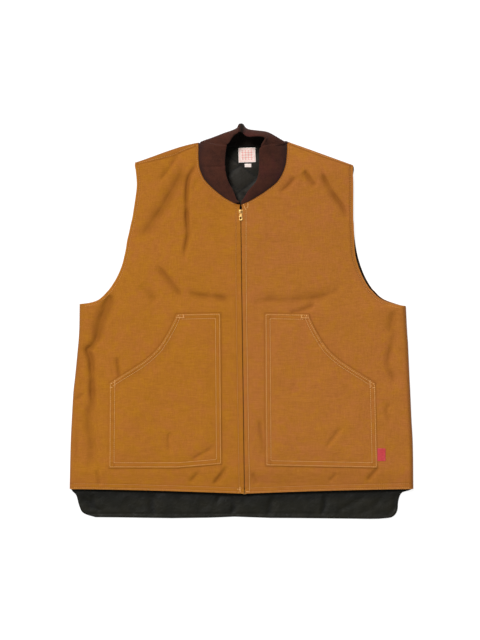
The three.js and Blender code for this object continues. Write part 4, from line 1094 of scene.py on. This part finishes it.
# A stitch's rings: share of its length and of its radius
CAPSULE_RINGS = [(0.14, 0.75), (0.5, 1.0), (0.86, 0.75)]


def capsule(start, end, radius):
    start, end = np.array(start), np.array(end)
    run = end - start
    unit = run / np.linalg.norm(run)
    across = np.cross(unit, [0, 0, 1.0])
    across /= np.linalg.norm(across)
    up = np.cross(across, unit)
    points = [start]
    for share, wide in CAPSULE_RINGS:
        for k in range(6):
            a = k / 6 * 2 * math.pi
            points.append(start + run * share + (across * math.cos(a) + up * math.sin(a) * 0.8) * radius * wide)
    points.append(end)
    faces = [[0, 1 + (k + 1) % 6, 1 + k] for k in range(6)]
    for ring in range(2):
        base = 1 + ring * 6
        faces += [[base + k, base + (k + 1) % 6, base + 6 + (k + 1) % 6, base + 6 + k] for k in range(6)]
    last = len(points) - 1
    faces += [[last, last - 6 + k, last - 6 + (k + 1) % 6] for k in range(6)]
    return np.array(points), faces


def stitched(name, lines, surface, material, radius=STITCH_RADIUS, pitch=STITCH_PITCH, long=STITCH_LONG):
    rng = np.random.default_rng(len(name))
    parts = []
    for line in lines:
        line = np.asarray(line, float)
        total = length(line)
        count = int(total // pitch)
        if count < 1:
            continue
        starts = (np.arange(count) + 0.5) * total / count
        a = walk(line, np.clip(starts - long / 2, 0, total))
        b = walk(line, np.clip(starts + long / 2, 0, total))
        za = surface.heights(a[:, 0], a[:, 1])
        zb = surface.heights(b[:, 0], b[:, 1])
        skew = rng.normal(0, 0.06, (count, 2))
        for k in range(count):
            if za[k] <= 0 or zb[k] <= 0:
                continue
            up = radius * 0.35
            parts.append(capsule((a[k, 0] + skew[k, 0], a[k, 1], za[k] + up),
                                 (b[k, 0] + skew[k, 1], b[k, 1], zb[k] + up), radius))
    piece(name, *joined(parts), material, "canvas")


def inset_line(path, offset, trim_start=0.0, trim_end=0.0):
    """A smooth line beside a path, cut short at its ends."""
    line = polyline_offset(path, offset)
    total = length(line)
    at = np.linspace(trim_start, total - trim_end, 160)
    return walk(line, at)


def pocket_stitches(sign, lines, surface, thread):
    rows = []
    for name, path in lines.items():
        for k, at in enumerate(MOUTH_ROWS if name == "mouth" else POCKET_ROWS):
            dense = walk(path, np.linspace(0, length(path), 200))
            trim = at if name != "mouth" else 1.5
            rows.append(inset_line(dense, -sign * at, trim, trim))
    stitched("pocket_stitches_" + NAMES[sign], rows, surface, thread, radius=0.46)
    tacks = []
    for end, spots in ((lines["mouth"][0], TACKS_AT_TOP), (lines["mouth"][-1], TACKS_AT_SIDE)):
        for ax, ay, bx, by in spots:
            tacks.append([(end[0] - sign * ax, end[1] + ay), (end[0] - sign * bx, end[1] + by)])
    stitched("pocket_tacks_" + NAMES[sign], tacks, surface, thread, radius=0.75, pitch=2.4, long=2.8)


def front_stitches(sign, surface, core, thread, bright):
    name = NAMES[sign]
    hem = core[0, :, :2]
    hem = walk(hem, np.linspace(4, length(hem) - 9, 260))
    armhole, neckline = armhole_path(sign), neckline_path(sign)
    rows = [polyline_offset(hem, sign * at) for at in HEM_ROWS]
    rows.append(inset_line(walk(armhole, np.linspace(0, length(armhole), 300)), sign * ARM_ROW, 10, 7))
    rows.append(inset_line(walk(neckline, np.linspace(0, length(neckline), 200)), -sign * NECK_ROW, 12, 4))
    rows.append(inset_line(smooth_path(SHOULDER_SEAM[sign]), -sign * 2.2, 5, 4))
    stitched("edge_stitches_" + name, rows, surface, thread, radius=0.5)
    row = smooth_path(PLACKET_ROW[sign], 60)
    stitched("placket_stitches_" + name, [row], surface, bright if sign > 0 else thread, radius=0.5)
    stitched("zip_end_stitches_" + name, ZIP_END_ROWS[sign], surface, bright, radius=0.7, pitch=2.6, long=2.8)


# Labels and flag

LABEL_TURN = [(0.15, 0.1), (0.2, 0.35), (0.0, 0.6), (-1.2, 0.65)]
LABEL_REST = 0.4


def build_label(name, node, wide, tall, turn, surface, material, slot):
    cx, cy, _ = box_of(node)[2]
    gu, gv = np.meshgrid(np.linspace(-0.5, 0.5, 40), np.linspace(-0.5, 0.5, 36))
    px, py = gu * wide, gv * tall
    x = cx + px * math.cos(turn) - py * math.sin(turn)
    y = cy + px * math.sin(turn) + py * math.cos(turn)
    z = surface.heights(x, y)
    curl = 0.35 * np.cos(gu * math.pi) * (0.6 + gv)
    z = np.maximum(z, z.mean() - 0.4) + LABEL_REST + 0.35 + curl + 0.12 * noise(x, y, 7, 71)
    grid, marks = turn_all(np.dstack([x, y, z]), {"across": gu * 2, "up": gv * 2}, LABEL_TURN)
    return grid_piece(name, grid, material, slot, marks=marks, stands_for=node)


# Materials

class Shader:
    """A short way to write node trees."""

    def __init__(self, name):
        self.material = bpy.data.materials.new(name)
        self.material.use_nodes = True
        self.tree = self.material.node_tree
        self.principled = self.tree.nodes["Principled BSDF"]
        self.place = self.add("ShaderNodeTexCoord").outputs["Object"]

    def add(self, kind, **settings):
        node = self.tree.nodes.new(kind)
        for key, value in settings.items():
            setattr(node, key, value)
        return node

    def put(self, socket, value):
        if isinstance(value, bpy.types.NodeSocket):
            self.tree.links.new(value, socket)
        else:
            socket.default_value = value

    def noise(self, scale, detail=2.0, rough=0.5, stretch=None, distortion=0.0):
        place = self.place
        if stretch:
            mapping = self.add("ShaderNodeMapping")
            self.put(mapping.inputs["Vector"], place)
            mapping.inputs["Scale"].default_value = stretch
            place = mapping.outputs[0]
        node = self.add("ShaderNodeTexNoise")
        self.put(node.inputs["Vector"], place)
        for key, value in (("Scale", scale), ("Detail", detail), ("Roughness", rough), ("Distortion", distortion)):
            node.inputs[key].default_value = value
        return node.outputs[0]

    def wave(self, direction, pitch, distortion=0.0):
        node = self.add("ShaderNodeTexWave", bands_direction=direction)
        self.put(node.inputs["Vector"], self.place)
        node.inputs["Scale"].default_value = 2 * math.pi / (pitch * MM * 20)
        node.inputs["Distortion"].default_value = distortion
        node.inputs["Detail Scale"].default_value = 2.0
        return node.outputs["Fac"]

    def math(self, operation, a, b=0.5):
        node = self.add("ShaderNodeMath", operation=operation)
        self.put(node.inputs[0], a)
        self.put(node.inputs[1], b)
        return node.outputs[0]

    def mark(self, name):
        return self.add("ShaderNodeAttribute", attribute_name=name).outputs["Fac"]

    def span(self, value, low, high, to_low=0.0, to_high=1.0):
        node = self.add("ShaderNodeMapRange")
        for socket, v in zip(node.inputs[:5], (value, low, high, to_low, to_high)):
            self.put(socket, v)
        return node.outputs[0]

    def mix(self, share, a, b):
        """Between two colours, each a socket or sRGB values from 0 to 255."""
        node = self.add("ShaderNodeMix", data_type="RGBA")
        for key, value in (("Factor", share), (6, a), (7, b)):
            self.put(node.inputs[key], rgb(*value) if isinstance(value, tuple) else value)
        return node.outputs[2]

    def mottle(self, colour, other, scale, low, high, most=1.0, **noise):
        """A colour with another in patches, where noise passes from low to high."""
        return self.mix(self.span(self.noise(scale, **noise), low, high, 0, most), colour, other)

    def marked(self, colour, other, name, most):
        """A colour with another where a mark is."""
        return self.mix(self.math("MULTIPLY", self.mark(name), most), colour, other)

    def bump(self, height, strength, distance, normal=None):
        node = self.add("ShaderNodeBump")
        node.inputs["Strength"].default_value = strength
        node.inputs["Distance"].default_value = distance * MM
        self.put(node.inputs["Height"], height)
        if normal is not None:
            self.put(node.inputs["Normal"], normal)
        return node.outputs[0]

    def finish(self, **values):
        for key, value in values.items():
            self.put(self.principled.inputs[key.replace("_", " ")], value)
        return self.material


def rgb(red, green, blue):
    """An sRGB colour from 0 to 255 as linear values."""
    linear = [(c / 255 / 12.92) if c / 255 <= 0.04045 else ((c / 255 + 0.055) / 1.055) ** 2.4
              for c in (red, green, blue)]
    return (*linear, 1.0)


def canvas_material(name, base, reddish, golden, dark, pale):
    s = Shader(name)
    colour = s.mottle(base, reddish, 24, 0.38, 0.62, detail=3, rough=0.55)
    colour = s.mottle(colour, golden, 46, 0.45, 0.7, 0.8, detail=3, rough=0.6, distortion=0.6)
    slubs = s.noise(900, 2, 0.6, stretch=(0.05, 1, 1))
    ends = s.noise(900, 2, 0.6, stretch=(1, 0.05, 1))
    grain = s.math("ADD", s.math("MULTIPLY", slubs, 0.6), s.math("MULTIPLY", ends, 0.4))
    colour = s.mix(s.span(grain, 0.4, 0.62, 0, 0.42), colour, dark)
    colour = s.mottle(colour, pale, 420, 0.5, 0.75, 0.3, detail=4, rough=0.7)
    # Painted shade in the creases, seams and along the edges
    colour = s.marked(colour, dark, "painted_shade", 0.8)
    colour = s.marked(colour, dark, "shade", 0.6)
    # Painted highlight along the turned edges
    painted_highlight = s.math("MULTIPLY", s.mark("light"), s.span(s.noise(300, 3, 0.6), 0.35, 0.6, 0.2, 0.8))
    colour = s.mix(painted_highlight, colour, pale)
    weft = s.wave("X", 1.0, 1.4)
    warp = s.wave("Y", 0.8, 1.4)
    weave = s.math("ADD", s.math("MULTIPLY", weft, 0.5), s.math("MULTIPLY", warp, 0.5))
    weave = s.math("ADD", weave, s.math("MULTIPLY", grain, 1.1))
    normal = s.bump(weave, 0.6, 0.22)
    normal = s.bump(s.noise(140, 4, 0.6), 0.35, 1.0, normal)
    return s.finish(Base_Color=colour, Roughness=s.span(grain, 0.3, 0.7, 0.78, 0.95), Normal=normal,
                    Specular_IOR_Level=0.16)


def thread_material(name, base, dark):
    s = Shader(name)
    colour = s.mottle(base, dark, 1500, 0.35, 0.65)
    normal = s.bump(s.noise(4000, 1, stretch=(1, 1, 0.3)), 0.5, 0.1)
    return s.finish(Base_Color=colour, Roughness=0.6, Normal=normal, Sheen_Weight=0.1)


def rib_material():
    s = Shader("rib_knit")
    colour = s.mottle((68, 35, 24), (54, 28, 20), 60, 0.35, 0.65, detail=3)
    colour = s.mottle(colour, (72, 28, 32), 34, 0.5, 0.68, 0.6, stretch=(1, 0.35, 1))
    colour = s.mottle(colour, (84, 50, 37), 700, 0.45, 0.7, 0.5)
    # Painted shade in the rib's grooves and, near black, on the back band's inner face; darker towards the seam
    colour = s.marked(colour, (36, 19, 16), "groove", 0.4)
    colour = s.marked(colour, (30, 19, 20), "seam_side", 0.6)
    colour = s.marked(colour, (13, 13, 9), "inside", 0.9)
    loops = s.noise(1300, 2, 0.6)
    return s.finish(Base_Color=colour, Roughness=0.92, Normal=s.bump(loops, 0.6, 0.3), Specular_IOR_Level=0.1,
                    Sheen_Weight=0.06, Sheen_Roughness=0.5)


def lining_material():
    s = Shader("quilted_nylon")
    colour = s.mottle((21, 19, 9), (14, 13, 5), 38, 0.35, 0.65, detail=3)
    # Painted light in the neck opening; painted shade, near black, in the quilting grooves, creases and under the
    # front's hem
    colour = s.marked(colour, (37, 33, 27), "open", 0.8)
    colour = s.marked(colour, (5, 5, 3), "painted_shade", 0.92)
    weave = s.math("ADD", s.wave("X", 0.5), s.wave("Y", 0.5))
    normal = s.bump(weave, 0.12, 0.05)
    normal = s.bump(s.noise(110, 4, 0.6, distortion=0.8), 0.55, 1.4, normal)
    return s.finish(Base_Color=colour, Roughness=s.span(s.noise(90, 2), 0.3, 0.7, 0.48, 0.66), Normal=normal,
                    Specular_IOR_Level=0.14)


def brass_material(name, base, dark):
    s = Shader(name)
    colour = s.mottle(base, dark, 600, 0.4, 0.65, detail=3)
    normal = s.bump(s.noise(2600, 3, 0.6), 0.18, 0.08)
    return s.finish(Base_Color=colour, Metallic=0.9, Roughness=s.span(s.noise(900, 2), 0.3, 0.7, 0.34, 0.5),
                    Normal=normal)


def tape_material():
    s = Shader("zip_cloth")
    colour = s.mottle((124, 74, 32), (98, 58, 24), 800, 0.4, 0.6)
    return s.finish(Base_Color=colour, Roughness=0.9, Normal=s.bump(s.wave("Y", 0.7), 0.5, 0.12))


def label_material(name, woven):
    """Bare woven satin; with a thin pink border and a plain lozenge weave on the larger one."""
    s = Shader(name)
    cloth = s.mottle((238, 223, 214), (229, 208, 198), 500, 0.4, 0.65)
    if woven:
        across, up = s.mark("across"), s.mark("up")
        edge = s.math("MAXIMUM", s.math("ABSOLUTE", across), s.math("ABSOLUTE", up))
        border = s.math("MULTIPLY", s.math("GREATER_THAN", edge, 0.82), s.math("LESS_THAN", edge, 0.88))
        rows = [s.math("SINE", s.math("MULTIPLY", s.math(way, across, up), 9)) for way in ("ADD", "SUBTRACT")]
        net = s.math("GREATER_THAN", s.math("MULTIPLY", rows[0], rows[1]), 0.0)
        inner = s.math("LESS_THAN", edge, 0.7)
        pattern = s.math("MAXIMUM", border, s.math("MULTIPLY", net, inner))
        cloth = s.mix(s.math("MULTIPLY", pattern, 0.62), cloth, (226, 120, 112))
    normal = s.bump(s.math("ADD", s.wave("X", 0.6), s.wave("Y", 0.45)), 0.3, 0.08)
    return s.finish(Base_Color=cloth, Roughness=0.62, Normal=normal, Sheen_Weight=0.1)


def flag_material():
    s = Shader("red_ribbon")
    colour = s.mottle((184, 38, 47), (162, 30, 39), 500, 0.4, 0.65)
    return s.finish(Base_Color=colour, Roughness=0.6, Normal=s.bump(s.wave("Y", 0.9), 0.5, 0.14),
                    Sheen_Weight=0.15)


def floor_material():
    s = Shader("pale_floor")
    colour = s.mottle((128, 128, 128), (125, 125, 125), 3, 0.3, 0.7)
    return s.finish(Base_Color=colour, Roughness=0.9, Specular_IOR_Level=0.1, Emission_Color=(1, 1, 1, 1),
                    Emission_Strength=0.88)


# Putting it together

canvas = {
    -1: canvas_material("duck_canvas", (159, 99, 24), (161, 97, 34), (162, 104, 16), (124, 72, 14),
                        (186, 124, 54)),
    1: canvas_material("duck_canvas_left", (159, 98, 34), (162, 97, 42), (162, 103, 24), (122, 70, 16),
                       (186, 124, 60)),
}
thread = thread_material("tan_thread", (205, 140, 66), (180, 114, 44))
bright = thread_material("pale_thread", (230, 177, 106), (206, 145, 78))
rib = rib_material()
lining = lining_material()
brass = brass_material("brass", (228, 184, 116), (196, 148, 80))
# A darker copy of the brass for the teeth: painted shade, as they lie deep in the slit between the plackets
brass_in_shade = brass_material("brass_in_shade", (124, 82, 38), (92, 58, 26))
tape = tape_material()

surfaces = {}
for sign in (-1, 1):
    front, front_lining, surfaces[sign], core = build_front(sign, canvas[sign], lining)
    pocket, pocket_surface, lines = build_pocket(sign, surfaces[sign], canvas[sign])
    pocket_stitches(sign, lines, pocket_surface, bright)
    front_stitches(sign, surfaces[sign], core, thread, bright)

back, back_lining, lining_surface = build_back(canvas[-1], lining)
collar = build_collar(surfaces, rib)
build_zip(surfaces, brass, brass_in_shade, tape)

label = build_label("bare_neck_label", "neck_label", 33.6, 29, 0.03, lining_surface,
                    label_material("woven_label", True), "label")
size_tab = build_label("bare_size_tab", "size_tab", 12.8, 6.6, 0.0, lining_surface,
                       label_material("plain_label", False), "label")
flag = build_label("bare_pocket_flag", "pocket_flag", 16, 25, 0.0, surfaces[1], flag_material(), "flag")

# Floor, light and camera

FLOOR_REACH = 8
FLOOR_Z = -0.0004
floor_mesh = bpy.data.meshes.new("floor")
corners = [(x * FLOOR_REACH, y * FLOOR_REACH, FLOOR_Z) for x, y in ((-1, -1), (1, -1), (1, 1), (-1, 1))]
floor_mesh.from_pydata(corners, [], [(0, 1, 2, 3)])
floor_mesh.materials.append(floor_material())
floor = add_object("floor", floor_mesh)

world = bpy.data.worlds.new("studio")
world.use_nodes = True
for socket, value in (("Color", (1, 1, 1, 1)), ("Strength", 0.36)):
    world.node_tree.nodes["Background"].inputs[socket].default_value = value
bpy.context.scene.world = world

key_data = bpy.data.lights.new("key", "SUN")
key_data.energy = 3.35
key_data.angle = math.radians(16)
key = add_object("key", key_data)
key.rotation_euler = Vector((-0.5, 0.67, 1.42)).to_track_quat("Z", "Y").to_euler()

# The camera looks straight down; PICTURE_TALL is what the picture's height covers, in metres
CAMERA_HIGH = 8.0
PICTURE_TALL = 1.28
SENSOR = 36
camera_data = bpy.data.cameras.new("camera")
camera_data.sensor_width = SENSOR
camera_data.sensor_height = SENSOR
camera_data.sensor_fit = "VERTICAL"
camera_data.lens = SENSOR * CAMERA_HIGH / PICTURE_TALL
camera = add_object("camera", camera_data)
camera.location = (-0.003, 0.002, CAMERA_HIGH + 0.006)
bpy.context.scene.camera = camera
bpy.context.scene.view_settings.view_transform = "Standard"
